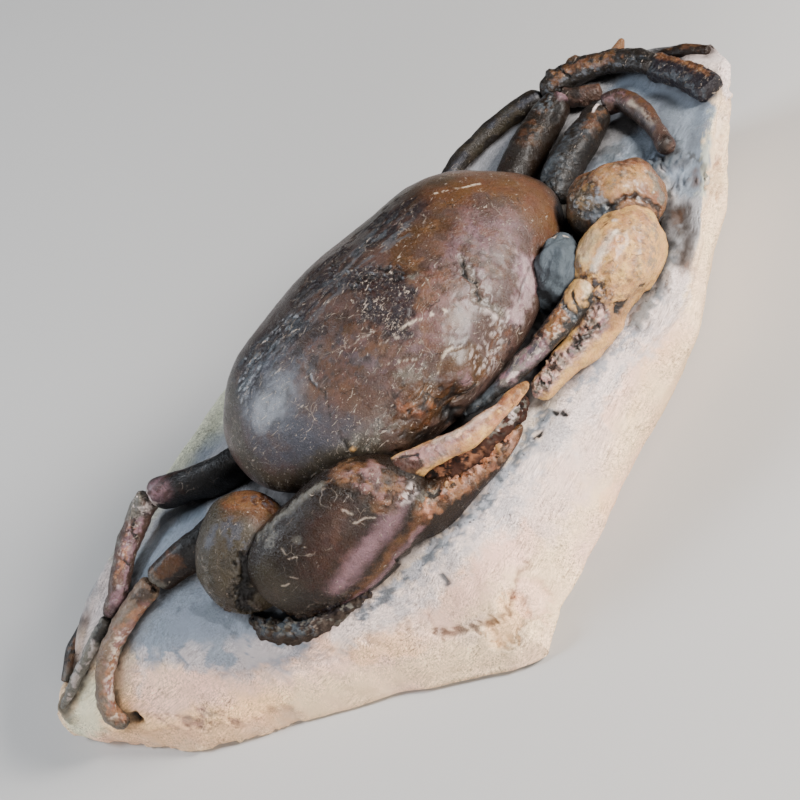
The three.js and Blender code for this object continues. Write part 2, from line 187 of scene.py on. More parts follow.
def smooth(low, high, value):
    """0 below low, 1 above high and an S curve between."""
    t = np.clip((value - low) / (high - low), 0, 1)
    return t * t * (3 - 2 * t)


def hermite(rows, ids, f):
    """Catmull-Rom values: between rows ids[1] and ids[2] at share f, with slopes from the rows around."""
    a, b, c, d = (rows[i] for i in ids)
    f = f[:, None]
    return ((2 * f ** 3 - 3 * f ** 2 + 1) * b + (f ** 3 - 2 * f ** 2 + f) * (c - a) / 2
            + (3 * f ** 2 - 2 * f ** 3) * c + (f ** 3 - f ** 2) * (d - b) / 2)


def spline(rows, t):
    """Rows of numbers read at places t from 0 to the last row, along a Catmull-Rom curve."""
    rows = np.asarray(rows, float)
    i = np.clip(np.floor(t).astype(int), 0, len(rows) - 2)
    return hermite(rows, [np.clip(i + k, 0, len(rows) - 1) for k in (-1, 0, 1, 2)], t - i)


def unit(vectors):
    """Vectors brought to length 1."""
    return vectors / np.maximum(np.linalg.norm(vectors, axis=-1, keepdims=True), 1e-12)


def grid_normals(grid):
    """Outward normals of a grid of rings: its two directions' cross product, turned away from its axis."""
    along = np.gradient(grid, axis=0)
    around = np.roll(grid, -1, axis=1) - np.roll(grid, 1, axis=1)
    normals = unit(np.cross(around, along))
    outward = np.sum(normals * (grid - grid.mean(axis=1, keepdims=True)))
    return normals * np.sign(outward)


def within(points, path, margin):
    """Which points lie in the box around a path, widened by a margin."""
    return np.all((points > path.min(axis=0) - margin) & (points < path.max(axis=0) + margin), axis=1)


def distance(points, path):
    """Distance from each point to the nearest place on a path of straight stretches, or to a single place."""
    path = np.asarray(path, float)
    if len(path) == 1:
        return np.linalg.norm(points - path[0], axis=1)
    nearest = np.full(len(points), np.inf)
    for a, b in zip(path[:-1], path[1:]):
        run = b - a
        t = np.clip((points - a) @ run / (run @ run), 0, 1)
        nearest = np.minimum(nearest, np.linalg.norm(points - a - t[:, None] * run, axis=1))
    return nearest


# ---------- marks: places where the surface differs ----------


EVERYWHERE = -9.0      # lower than any noise, so that a mark has no patches
PATCH_EDGE = 0.12      # how much more noise it takes until a patch is full
BROAD = 4.0            # from this radius on, the edge of a mark wanders in waves too
WAVE_SIZE, RIPPLE_SIZE = 5.0, 1.3
TUFT_SIZE, TUFT_SEED = 2.2, 77
KINDS = {              # seeds of relief and marks, how far the painted contact shade reaches from what touches, and how strong it is
    "block": (11, 17, 3.4, 0.62),
    "back": (3, 7, 2.0, 0.8),
    "knob": (40, 50, 1.6, 0.8),
    "claw": (60, 70, 1.5, 0.75),
    "leg": (80, 90, 1.2, 0.6),
}
SNAP_MARGIN = 14.0     # how far beside a mark's path its surface is looked for


class Mark(NamedTuple):
    """A stroke of a brush along path, in millimetres, that tints the surface, lifts it or makes it gritty."""

    path: list
    radius: float
    colour: str
    strength: float        # share of the colour in the middle of the stroke
    rise: float = 0.0      # how far the surface is lifted, or sunk if negative
    soft: float = 0.7      # share of the radius over which the stroke fades
    ragged: float = 0.35   # how far noise moves its edge, as a share of the radius
    grit: float = 0.0      # height of the grains inside it
    hollow: float = 0.0    # how much painted shade darkens it
    crust: float = 0.0     # how many pale flecks it has
    patchy: float = EVERYWHERE   # only where noise is above this
    scale: float = 6.0     # size of those patches
    stretch: float = 1.0   # how many times longer they are along X


def patches(path, radius, colour, strength, above, scale=6.0, **more):
    """A mark only where noise of a scale is above a value: the higher that is, the fewer its patches."""
    return Mark(path, radius, colour, strength, patchy=above, scale=scale, **more)


def washes(path, radius, *shades):
    """Patches of several shades along one path, each a colour, a strength, the least noise and its scale."""
    return [patches(path, radius, *shade) for shade in shades]


def crack(path, radius, strength, sink, painted_shade, ragged=0.35):
    """A crack or gap, sunk into the surface, with painted shade in it in the soot colour."""
    return Mark(path, radius, "soot", strength, rise=-sink, hollow=painted_shade, ragged=ragged)


def bumps(*rows):
    """Small soft bumps, such as teeth: each a place, radius, colour, strength, height and raggedness."""
    return [Mark([place], *look, soft=1, ragged=ragged) for place, *look, ragged in rows]


def scratches(*rows):
    """Fine pale scratches, each a path, a radius, a colour and a strength."""
    return [Mark(*row, ragged=0.5) for row in rows]


class Surface:
    """A grid of rings with its normals, and what is known at each point: tone, hollow and crust."""

    def __init__(self, start, grid, end, base, crust=0.0, grain=1.1):
        self.shape = grid.shape[:2]
        self.grain = grain
        normals = grid_normals(grid)
        ends = unit(np.array([start - grid[1].mean(axis=0), end - grid[-2].mean(axis=0)]) + 1e-9)
        self.points = np.concatenate([[start], grid.reshape(-1, 3), [end]])
        self.normals = np.concatenate([ends[:1], normals.reshape(-1, 3), ends[1:]])
        self.tone = np.tile(np.asarray(base, float), (len(self.points), 1))
        self.hollow = np.zeros(len(self.points))
        self.crust = np.full(len(self.points), float(crust))

    def lift(self, height):
        """Moves the points along their normals."""
        self.points = self.points + self.normals * height[:, None]

    def relief(self, layers, strength, seed):
        """Adds layers of noise, each of a size, a height and a number of octaves."""
        for k, (size, height, octaves) in enumerate(layers):
            self.lift(strength * height * rough(self.points, size, octaves, seed + 31 * k))

    def tint(self, mask, shade, strength):
        """Mixes a colour into the tone where the mask says."""
        self.tone += (np.asarray(shade) - self.tone) * (strength * mask)[:, None]

    def soil(self, touch, depth):
        """Painted shade where other pieces touch the surface, in uneven tufts."""
        uneven = smooth(-0.8, 0.4, rough(self.points, TUFT_SIZE, 3, TUFT_SEED))
        self.hollow = np.maximum(self.hollow, depth * touch * uneven)

    def snapped(self, path, step):
        """The path in places at most step apart, each brought to the nearest point of the surface."""
        path = np.asarray(path, float)
        legs = [path[:1]]
        for a, b in zip(path[:-1], path[1:]):
            count = max(1, int(np.ceil(np.linalg.norm(b - a) / step)))
            legs.append(a + (b - a) * (np.arange(1, count + 1) / count)[:, None])
        path = np.concatenate(legs)
        near = self.points[within(self.points, path, SNAP_MARGIN)]
        if len(near) == 0:
            return path
        return np.array([near[np.argmin(np.sum((near - place) ** 2, axis=1))] for place in path])

    def mark(self, marks, colours, relief, seed):
        """Applies the marks in order: each one's mask is 1 within its stroke and fades to 0 at its radius."""
        where = self.points.copy()
        wander = rough(where, WAVE_SIZE, 3, seed + 3)
        fine = rough(where, RIPPLE_SIZE, 3, seed + 5)
        grains = rough(where, self.grain, 2, seed + 9)
        height = np.zeros(len(where))
        for k, m in enumerate(marks):
            path = self.snapped(m.path, max(2.0, 0.8 * m.radius))
            reach = m.radius * (1 + 1.5 * m.ragged)
            near = within(where, path, reach)
            edge = fine if m.radius < BROAD else 0.6 * wander + 0.4 * fine
            d = distance(where[near], path) / m.radius + m.ragged * edge[near]
            mask = 1 - smooth(1 - m.soft, 1, d)
            if m.patchy > EVERYWHERE:
                clouds = rough(where[near] / [m.stretch, 1, 1], m.scale, 4, seed + 13 * k)
                mask = mask * smooth(m.patchy, m.patchy + PATCH_EDGE, clouds)
            height[near] += mask * (m.rise + relief * m.grit * grains[near])
            self.hollow[near] = np.maximum(self.hollow[near], m.hollow * mask)
            self.crust[near] = self.crust[near] * (1 - mask) + np.maximum(m.crust, self.crust[near]) * mask
            shade = np.asarray(getattr(colours, m.colour))
            self.tone[near] += (shade - self.tone[near]) * (m.strength * mask)[:, None]
        self.lift(height)

    def dress(self, name, kind, number, layers, marks, sizes, colours):
        """Relief, marks and the painted shade around what the piece touches; returns where that is."""
        relief_seed, mark_seed, reach, depth = KINDS[kind]
        self.relief(layers, sizes.relief, relief_seed + number)
        self.mark(marks, colours, sizes.relief, mark_seed + number)
        touch = contact(self.points, name, sizes, reach)
        self.soil(touch, depth)
        return touch

    def faces(self):
        """Corner numbers of all faces and where each starts: a fan at each end, four-sided ones between."""
        rings, sides = self.shape
        ring, side = np.meshgrid(np.arange(rings - 1), np.arange(sides), indexing="ij")
        after = (side + 1) % sides
        a = 1 + ring * sides + side
        b = 1 + ring * sides + after
        quads = np.stack([a, b, b + sides, a + sides], axis=-1).reshape(-1, 4)
        k = np.arange(sides)
        first = np.stack([np.zeros(sides, int), 1 + (k + 1) % sides, 1 + k], axis=1)
        base = 1 + (rings - 1) * sides
        last = np.stack([np.full(sides, base + sides), base + k, base + (k + 1) % sides], axis=1)
        corners = np.concatenate([quads.ravel(), first.ravel(), last.ravel()])
        sizes = np.concatenate([np.full(len(quads), 4), np.full(2 * sides, 3)])
        starts = np.concatenate([[0], np.cumsum(sizes)[:-1]])
        return corners, starts

    def inside_out(self):
        """Whether the volume enclosed by the grid's faces, as wound, is negative."""
        rings, sides = self.shape
        grid = self.points[1:-1].reshape(rings, sides, 3) - self.points.mean(axis=0)
        after = np.roll(grid, -1, axis=1)
        a, b, c, d = grid[:-1], after[:-1], after[1:], grid[1:]
        return np.sum(a * np.cross(b, c)) + np.sum(a * np.cross(c, d)) < 0

    def to_object(self, name, material, node, slot):
        """A mesh object with the attributes that its material reads, riding on the body."""
        corners, starts = self.faces()
        if self.inside_out():
            ends = np.append(starts[1:], len(corners))
            place = np.arange(len(corners))
            owner = np.repeat(np.arange(len(starts)), ends - starts)
            corners = corners[starts[owner] + ends[owner] - 1 - place]
        mesh = bpy.data.meshes.new(name)
        mesh.vertices.add(len(self.points))
        mesh.vertices.foreach_set("co", ((self.points + ORIGIN) * MM).astype(np.float32).ravel())
        mesh.loops.add(len(corners))
        mesh.loops.foreach_set("vertex_index", corners.astype(np.int32))
        mesh.polygons.add(len(starts))
        mesh.polygons.foreach_set("loop_start", starts.astype(np.int32))
        mesh.polygons.foreach_set("use_smooth", np.ones(len(starts), bool))
        mesh.update(calc_edges=True)
        tone = mesh.attributes.new("tone", "FLOAT_COLOR", "POINT")
        tone.data.foreach_set("color", np.column_stack([np.clip(self.tone, 0, 1), np.ones(len(self.tone))])
                              .astype(np.float32).ravel())
        for key in ("hollow", "crust"):
            values = np.clip(getattr(self, key), 0, 1).astype(np.float32)
            mesh.attributes.new(key, "FLOAT", "POINT").data.foreach_set("value", values)
        mesh.materials.append(material)
        if mesh.validate():
            raise RuntimeError(f"{name} isn't a sound mesh")
        piece = bpy.data.objects.new(name, mesh)
        bpy.context.scene.collection.objects.link(piece)
        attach(piece, "root")
        if node:
            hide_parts(node)


# ---------- forms ----------


def limb(stations, sides, steps, squareness=2.0, blunt=0.1):
    """A limb carried along a path. Each station holds x, y, z and half the width and height there.

    The section is a superellipse whose power is squareness; both ends close in a round of the blunt share.
    """
    stations = np.asarray(stations, float)
    end = len(stations) - 1
    u = 0.5 - 0.5 * np.cos(np.pi * (np.arange(steps) + 0.5) / steps)
    rows = spline(stations, u * end)
    ahead = spline(stations, np.minimum(end, u * end + 0.05))
    behind = spline(stations, np.maximum(0, u * end - 0.05))
    along = unit((ahead - behind)[:, :3])
    side = unit(np.cross(along, [0, 0, 1]))
    up = np.cross(side, along)
    from_end = np.minimum(u, 1 - u)
    closing = np.sqrt(1 - (1 - np.minimum(1, from_end / blunt)) ** 2)
    a = 2 * np.pi * np.arange(sides) / sides
    across, rise = (np.sign(v) * np.abs(v) ** (2 / squareness) for v in (np.cos(a), np.sin(a)))
    grid = (rows[:, None, :3]
            + side[:, None] * (rows[:, 3] * closing)[:, None, None] * across[None, :, None]
            + up[:, None] * (rows[:, 4] * closing)[:, None, None] * rise[None, :, None])
    return stations[0, :3], grid, stations[-1, :3]


BACK_CENTRE = np.array([-1.0, -6.0, 50.0])
BACK_SQUARENESS = 2.3
BACK_WAVES = {2: 0.066, 3: 0.042}      # skewed out of square, and its face forward of its rear
BACK_CORNERS = 0.02
BACK_SIDES, DOME_RINGS, BELLY_RINGS = 480, 164, 34
PLACES_ON_LIMB = 60
END_RINGS = 7
BACK_LUMPS = [
    [-10, -44, 57, 5.5, 2.4], [4, -43, 57, 6.5, 2.8], [-18, -43, 54, 5, 1.6],
    [17, -40, 54, 6, -1.6], [-3, -44, 51, 5, -1.4],
    [30, 6, 71, 14, 1.2], [50, -6, 58, 12, 1], [-30, 4, 70, 18, -1],
    [52, 11.5, 59, 14, -2.4], [-38, 10, 66, 14, 1.6], [9, 12, 75.5, 13, -2],
]


def back_reach(bearing):
    """How far the back's outline reaches at a bearing, as a share of its half sizes."""
    plain = (np.abs(np.cos(bearing)) ** BACK_SQUARENESS
             + np.abs(np.sin(bearing)) ** BACK_SQUARENESS) ** (-1 / BACK_SQUARENESS)
    wave = sum(size * np.sin(turns * bearing) for turns, size in BACK_WAVES.items())
    return plain * (1 + wave + BACK_CORNERS * np.cos(4 * bearing))


def back_form(sizes):
    """The dome of the back: rings of a superellipse whose reach waves with the bearing.

    A ring at angle v above the widest one stands at dome * sin(v) and is drawn in by cos(v) ** 0.9;
    below it, at belly * sin(v) and cos(v) ** 0.6.
    """
    bearing = 2 * np.pi * np.arange(BACK_SIDES) / BACK_SIDES
    reach = back_reach(bearing)
    above = np.radians(np.linspace(89.6, 0, DOME_RINGS))
    below = np.radians(np.linspace(0, -80, BELLY_RINGS + 1)[1:])
    level = np.concatenate([above, below])
    upper = level >= 0
    shrink = np.cos(level) ** np.where(upper, 0.9, 0.6)
    height = np.where(upper, sizes.dome, sizes.belly) / MM * np.sin(level)
    x = shrink[:, None] * reach * np.cos(bearing) * sizes.half_width / MM
    y = shrink[:, None] * reach * np.sin(bearing) * sizes.half_length / MM
    z = np.repeat(height[:, None], BACK_SIDES, axis=1)
    grid = np.stack([x, y, z], axis=-1) + BACK_CENTRE
    top = BACK_CENTRE + [0, 0, sizes.dome / MM]
    return top, grid, BACK_CENTRE - [0, 0, sizes.belly / MM]


def off_back(points, sizes):
    """How far points stand off the dome: beyond its ring at their own height."""
    x, y, z = (points - BACK_CENTRE).T * MM
    x, y = x / sizes.half_width, y / sizes.half_length
    ring = np.cos(np.arcsin(np.clip(z / sizes.dome, 0, 1))) ** 0.9
    return np.maximum(0, np.hypot(x, y) / back_reach(np.arctan2(y, x)) - ring) * sizes.half_length / MM


def off_limb(points, stations):
    """How far points stand off a limb: the least distance to its ellipses at places on its path."""
    rows = spline(stations, np.linspace(0, len(stations) - 1, PLACES_ON_LIMB))
    along = unit(np.gradient(rows[:, :3], axis=0))
    side = unit(np.cross(along, [0, 0, 1]))
    up = np.cross(side, along)
    least = np.full(len(points), np.inf)
    for row, ahead, across, rise in zip(rows, along, side, up):
        offset = points - row[:3]
        ratio = np.hypot(offset @ across / row[3], offset @ rise / row[4])
        beside = np.maximum(0, ratio - 1) * (row[3] + row[4]) / 2
        least = np.minimum(least, np.hypot(beside, offset @ ahead))
    return least


def contact(points, own, sizes, reach):
    """1 where points touch a limb or the back, other than their own piece, falling to 0 at reach off it."""
    least = np.full(len(points), np.inf) if own == "carapace" else off_back(points, sizes)
    for name, look in {**CLAW_FORMS, **LEG_FORMS}.items():
        path = np.asarray(look[0], float)
        margin = path[:, 3:].max() + reach
        near = within(points, path[:, :3], margin)
        if name != own and near.any():
            least[near] = np.minimum(least[near], off_limb(points[near], path))
    return 1 - smooth(0, reach, least)


def dressed_limb(name, kind, number, form, look, sizes, colours):
    """A dressed limb. Its form is stations and settings; its look is base colour, crust, relief and marks."""
    stations, settings = form
    base, crust, layers, marks = look
    surface = Surface(*limb(stations, **settings), base=getattr(colours, base), crust=crust)
    surface.dress(name, kind, number, layers, marks, sizes, colours)
    return surface


# Cross sections of the block: x, the underside's height, the front foot's y, the front bulge's y and z,
# the front rim's y and z, the middle's z, the rear rim's y and z, and the rear foot's y.
BLOCK = [
    [-148, 3, 10, 9, 5, 10, 9, 10, 15, 9, 15],
    [-142, 1, 3, 0, 5, 4, 12, 16, 15, 15, 18],
    [-135, 0, -5, -9, 4, -3, 15, 19, 13, 20, 20],
    [-126, 0, -15, -19, 4, -8, 20, 25, 16, 26, 24],
    [-118, 0, -24, -29, 4, -13, 24, 30, 21, 30, 28],
    [-107, 0, -31, -37, 4, -19, 28, 35, 23, 33, 30],
    [-92, 0, -40, -44, 4, -30, 29, 38, 26, 36, 32],
    [-77, 0, -49, -53, 4, -41, 26, 40, 31, 38, 36],
    [-64, 0, -57, -61, 4, -49, 24, 42, 37, 39, 42],
    [-51, 0, -67, -71, 4, -54, 24, 43, 43, 39, 48],
    [-39, 0, -75, -80, 4, -58, 25, 43, 46, 39, 52],
    [-27, 0, -82, -88, 5, -59, 27, 43, 48, 38, 54],
    [-20, 0, -76, -83, 5, -58, 28, 43, 48, 38, 54],
    [-15, 0, -72, -77, 5, -57, 28, 43, 48, 38, 54],
    [-1, 0, -64, -71, 6, -55, 28, 43, 48, 38, 54],
    [22, 0, -50, -60, 9, -51, 29, 43, 49, 39, 54],
    [43, 0, -38, -53, 12, -48, 30, 43, 49, 40, 54],
    [61, 0, -25, -49, 18, -47, 31, 42, 49, 41, 54],
    [78, 0, -9, -32, 21, -36, 34, 42, 48, 41, 51],
    [91, 5, 3, -23, 24, -22, 38, 41, 45, 41, 46],
    [100, 13, 8, -13, 28, -13, 40, 41, 41, 41, 40],
    [108, 20, 10, -5, 32, -5, 41, 41, 34, 42, 32],
    [115, 26, 13, 3, 34, 3, 40, 41, 25, 42, 23],
    [121, 31, 16, 12, 35, 12, 38, 39, 19, 40, 19],
]
BLOCK_STEPS = 400
SECTION_SHARE = [8, 4, 22, 34, 40, 40, 28, 22, 22, 10]     # grid lines on each stretch of a cross section
BLOCK_BREAKS = [[-26, -84, 14, -0.35, -0.94, 0.35]]


def block_form():
    """The block: Catmull-Rom cross sections carried along X, each a closed Catmull-Rom ring of ten places.

    Whatever stands beyond a break's plane is pressed back to it, and nothing goes below the ground.
    """
    rows = np.asarray(BLOCK, float)
    x = np.linspace(rows[0, 0], rows[-1, 0], BLOCK_STEPS)
    t = np.interp(x, rows[:, 0], np.arange(len(rows)))
    _, floor, foot, bulge_y, bulge_z, rim_y, rim_z, middle_z, rear_y, rear_z, rear_foot = spline(rows, t).T
    middle_y = (rim_y + rear_y) / 2
    places = np.array([
        [(foot + rear_foot) / 2, floor],
        [foot, floor],
        [bulge_y, bulge_z],
        [bulge_y + 0.55 * (rim_y - bulge_y), bulge_z + 0.62 * (rim_z - bulge_z)],
        [rim_y, rim_z],
        [rim_y + 0.4 * (middle_y - rim_y), rim_z + 0.6 * (middle_z - rim_z)],
        [middle_y, middle_z],
        [rear_y + 0.4 * (middle_y - rear_y), rear_z + 0.5 * (middle_z - rear_z)],
        [rear_y, rear_z],
        [rear_foot, floor],
    ])
    sides = sum(SECTION_SHARE)
    at = np.concatenate([k + np.arange(n) / n for k, n in enumerate(SECTION_SHARE)])
    span = np.floor(at).astype(int)
    around = hermite(places.reshape(10, -1), [(span + k) % 10 for k in (-1, 0, 1, 2)], at - span)
    y, z = np.moveaxis(around.reshape(sides, 2, BLOCK_STEPS), 1, 0)
    grid = np.stack([np.repeat(x[:, None], sides, axis=1), y.T, z.T], axis=-1)
    for row in BLOCK_BREAKS:
        normal = unit(np.array(row[3:], float))
        beyond = np.maximum(0, (grid - row[:3]) @ normal)
        grid = grid - beyond[..., None] * normal
    grid[..., 2] = np.maximum(0, grid[..., 2])
    return cap(grid)


def cap(grid):
    """Closes both end sections with rings drawn in to their middles, so that the ends have relief too."""
    shares = np.linspace(0, 1, END_RINGS + 1)[1:, None, None]
    start, end = grid[0].mean(axis=0), grid[-1].mean(axis=0)
    inner = start + shares * (grid[0] - start)
    outer = end + shares[::-1] * (grid[-1] - end)
    return start, np.concatenate([inner[:-1], grid, outer[1:]]), end


# ---------- materials ----------


class Number:
    """A value in a shader tree. Sums on it, with plain numbers or with others, add the nodes for them."""

    def __init__(self, tree, socket):
        self.tree = tree
        self.socket = socket

    def maths(self, operation, a, b):
        return node(self.tree, "ShaderNodeMath", {0: a, 1: b}, operation=operation)[0]

    def __add__(self, other):
        return self.maths("ADD", self, other)

    def __radd__(self, other):
        return self.maths("ADD", other, self)

    def __sub__(self, other):
        return self.maths("SUBTRACT", self, other)

    def __rsub__(self, other):
        return self.maths("SUBTRACT", other, self)

    def __mul__(self, other):
        return self.maths("MULTIPLY", self, other)

    def __rmul__(self, other):
        return self.maths("MULTIPLY", other, self)

    def at_least(self, other):
        return self.maths("MAXIMUM", self, other)

    def at_most(self, other):
        return self.maths("MINIMUM", self, other)


def join(tree, value, socket):
    """Links a value of the tree to a socket, or sets a plain one on it."""
    if isinstance(value, Number):
        tree.links.new(value.socket, socket)
    else:
        socket.default_value = value


def node(tree, kind, inputs=None, **settings):
    """A node with its settings and inputs, which are given by name or number; returns its outputs."""
    made = tree.nodes.new(kind)
    for key, value in settings.items():
        setattr(made, key, value)
    for key, value in (inputs or {}).items():
        join(tree, value, made.inputs[key])
    return outputs_of(tree, made)


def outputs_of(tree, made):
    """The outputs of a node as values, by name and by number."""
    values = [Number(tree, socket) for socket in made.outputs]
    return {**dict(enumerate(values)), **{value.socket.name: value for value in values}}


def between(tree, value, low, high, to_low=0.0, to_high=1.0):
    """A value brought smoothly from one range to another."""
    inputs = {"Value": value, "From Min": low, "From Max": high, "To Min": to_low, "To Max": to_high}
    return node(tree, "ShaderNodeMapRange", inputs, interpolation_type="SMOOTHSTEP")[0]


def blend(tree, factor, a, b):
    """Two colours mixed."""
    return node(tree, "ShaderNodeMix", {0: factor, 6: a, 7: b}, data_type="RGBA")[2]


def noise(tree, place, scale, detail=4.0, roughness=0.55, distortion=0.0):
    """Noise from 0 to 1 at a place."""
    return node(tree, "ShaderNodeTexNoise", {
        "Vector": place, "Scale": scale, "Detail": detail, "Roughness": roughness, "Distortion": distortion,
    })["Fac"]


def place_in(tree):
    """Places on the piece, in metres."""
    return node(tree, "ShaderNodeTexCoord")["Object"]


def group(name, colours, numbers, outputs):
    """A shader node group with its sockets: its tree, the values given to it and the sockets to fill in."""
    tree = bpy.data.node_groups.new(name, "ShaderNodeTree")
    for label in colours:
        tree.interface.new_socket(label, in_out="INPUT", socket_type="NodeSocketColor")
    for label in numbers:
        tree.interface.new_socket(label, in_out="INPUT", socket_type="NodeSocketFloat")
    for label in outputs:
        kind = "NodeSocketColor" if label == "Colour" else "NodeSocketFloat"
        tree.interface.new_socket(label, in_out="OUTPUT", socket_type=kind)
    given = outputs_of(tree, tree.nodes.new("NodeGroupInput"))
    return tree, given, tree.nodes.new("NodeGroupOutput").inputs


MOTTLES = ((1.0, 0.9), (5.0, 0.9), (22.0, 0.8))      # how much finer each noise is, and its share
HAIR_TURNS = ((0.41, 0.0, -2.08), (0.78, 0.0, 2.36), (0.20, 0.0, -1.20))
HAIR_LENGTH = 7.0      # how many times longer than wide scratches and tool marks are
FLECK_SIZE, HAIR_SIZE = 1300.0, 2100.0      # like all noise scales, in waves to a metre


def mottle_group():
    """Mottle: brightness and hue wander with noise of three sizes."""
    tree, given, out = group("Mottle", ["Colour"], ["Size", "Light", "Hue"], ["Colour"])
    place = place_in(tree)
    layers = [(noise(tree, place, given["Size"] * finer, 3.0, 0.6) - 0.5) * (4.0 * share)
              for finer, share in MOTTLES]
    light = (1.0 + sum(layers[1:], layers[0]) * given["Light"]).at_least(0.15)
    turn = (noise(tree, place, given["Size"] * 1.7, 2.0) - 0.5) * given["Hue"]
    changes = {"Hue": 0.5 + turn, "Value": light, "Color": given["Colour"]}
    join(tree, node(tree, "ShaderNodeHueSaturation", changes)["Color"], out["Colour"])
    return tree


def combed(tree, place, turn, scale, detail, distortion):
    """Noise drawn out along one direction."""
    laid = node(tree, "ShaderNodeMapping", {
        "Vector": place, "Rotation": turn, "Scale": (1.0, HAIR_LENGTH, 1.0),
    }, vector_type="TEXTURE")[0]
    return noise(tree, laid, scale, detail, 0.6, distortion)


def flecks_group():
    """Flecks: short scratches in three directions where combed noise is high, and crumbs where many are."""
    tree, given, out = group("Flecks", ["Colour", "Fleck"], ["Amount"], ["Colour", "Height"])
    place = place_in(tree)
    crumbs = noise(tree, place, 1.1 * FLECK_SIZE, 3.0, 0.6)
    limit = 0.84 - given["Amount"] * 0.26
    marks = between(tree, crumbs, limit, limit + 0.06)
    for k, turn in enumerate(HAIR_TURNS):
        lines = combed(tree, place, turn, FLECK_SIZE, 1.5, 1.1)
        area = noise(tree, place, 150.0 + 60.0 * k, 2.0)
        limit = 0.86 - area * 0.22 - given["Amount"] * 0.15
        marks = marks.at_least(between(tree, lines, limit, limit + 0.07))
    join(tree, blend(tree, marks * 0.7, given["Colour"], given["Fleck"]), out["Colour"])
    join(tree, marks, out["Height"])
    return tree


def brushed_group():
    """Ground stone: fine hair lines left by the tool in three directions, and dark grains between them."""
    tree, given, out = group("Brushed", ["Colour", "Dark"], ["Hairs", "Grains"], ["Colour", "Height"])
    place = place_in(tree)
    layers = []
    for k, turn in enumerate(HAIR_TURNS):
        lines = combed(tree, place, turn, HAIR_SIZE, 2.0, 0.9)
        area = noise(tree, place, 70.0 + 25.0 * k, 2.0)
        layers.append((lines - 0.5) * between(tree, area, 0.38, 0.62))
    cloud = noise(tree, place, 260.0, 4.0, 0.6) - 0.5
    swing = sum(layers[1:], layers[0]) + cloud * 0.16
    lit = node(tree, "ShaderNodeHueSaturation", {
        "Value": 1.0 + swing * given["Hairs"], "Color": given["Colour"],
    })["Color"]
    limit = 0.76 - given["Grains"] * 0.24
    dark = between(tree, noise(tree, place, 900.0, 3.0, 0.7), limit, limit + 0.07)
    join(tree, blend(tree, dark * 0.75, lit, given["Dark"]), out["Colour"])
    join(tree, swing - dark * 0.5, out["Height"])
    return tree


def crackle_group():
    """Crackle: a net of thin broken cracks between bent cells, pale in one place and dark in the next."""
    tree, given, out = group("Crackle", [], ["Size"], ["Pale", "Dark"])
    place = place_in(tree)
    bend = node(tree, "ShaderNodeTexNoise", {"Vector": place, "Scale": 170.0, "Detail": 3.0})["Color"]
    bent = node(tree, "ShaderNodeVectorMath", {0: bend, 1: (0.004, 0.004, 0.004), 2: place},
                operation="MULTIPLY_ADD")[0]
    cells = node(tree, "ShaderNodeTexVoronoi", {"Vector": bent, "Scale": given["Size"]},
                 feature="DISTANCE_TO_EDGE")
    lines = between(tree, cells["Distance"], 0.002, 0.02, 1.0, 0.0)
    broken = lines * between(tree, noise(tree, place, 210.0, 3.0), 0.5, 0.62)
    pale = between(tree, noise(tree, place, 60.0, 2.0), 0.44, 0.5)
    join(tree, broken * pale, out["Pale"])
    join(tree, broken * (1.0 - pale), out["Dark"])
    return tree


def use(tree, shared, inputs):
    """A shared group placed in a material with its own values."""
    made = tree.nodes.new("ShaderNodeGroup")
    made.node_tree = bpy.data.node_groups.get(shared.__name__) or shared()
    made.node_tree.name = shared.__name__
    for key, value in inputs.items():
        join(tree, value, made.inputs[key])
    return outputs_of(tree, made)


def opaque(shade):
    """A colour with full alpha."""
    return (*shade, 1.0)


def new_material(name, roughness, coat):
    """A material with its Principled shader, and the tone, hollow and crust that the piece holds."""
    material = bpy.data.materials.new(name)
    material.use_nodes = True
    tree = material.node_tree
    sockets = tree.nodes["Principled BSDF"].inputs
    gloss = {"Roughness": roughness, "Specular IOR Level": 0.25, "Coat Weight": coat, "Coat Roughness": 0.34}
    for label, value in gloss.items():
        sockets[label].default_value = value
    tone = node(tree, "ShaderNodeAttribute", attribute_name="tone")["Color"]
    hollow = node(tree, "ShaderNodeAttribute", attribute_name="hollow")["Fac"]
    crust = node(tree, "ShaderNodeAttribute", attribute_name="crust")["Fac"]
    return material, sockets, tone, hollow, crust


def finish_shader(tree, sockets, shade, hollow, soot, height, strength, depth):
    """Painted shade in the hollows, in the soot colour, over a shade, and a height as fine bumps."""
    hollow_shaded = blend(tree, between(tree, hollow, 0.1, 0.9, 0.0, 0.93), shade, opaque(soot))
    join(tree, hollow_shaded, sockets["Base Color"])
    bumped = node(tree, "ShaderNodeBump", {"Strength": strength, "Distance": depth, "Height": height})
    join(tree, bumped["Normal"], sockets["Normal"])


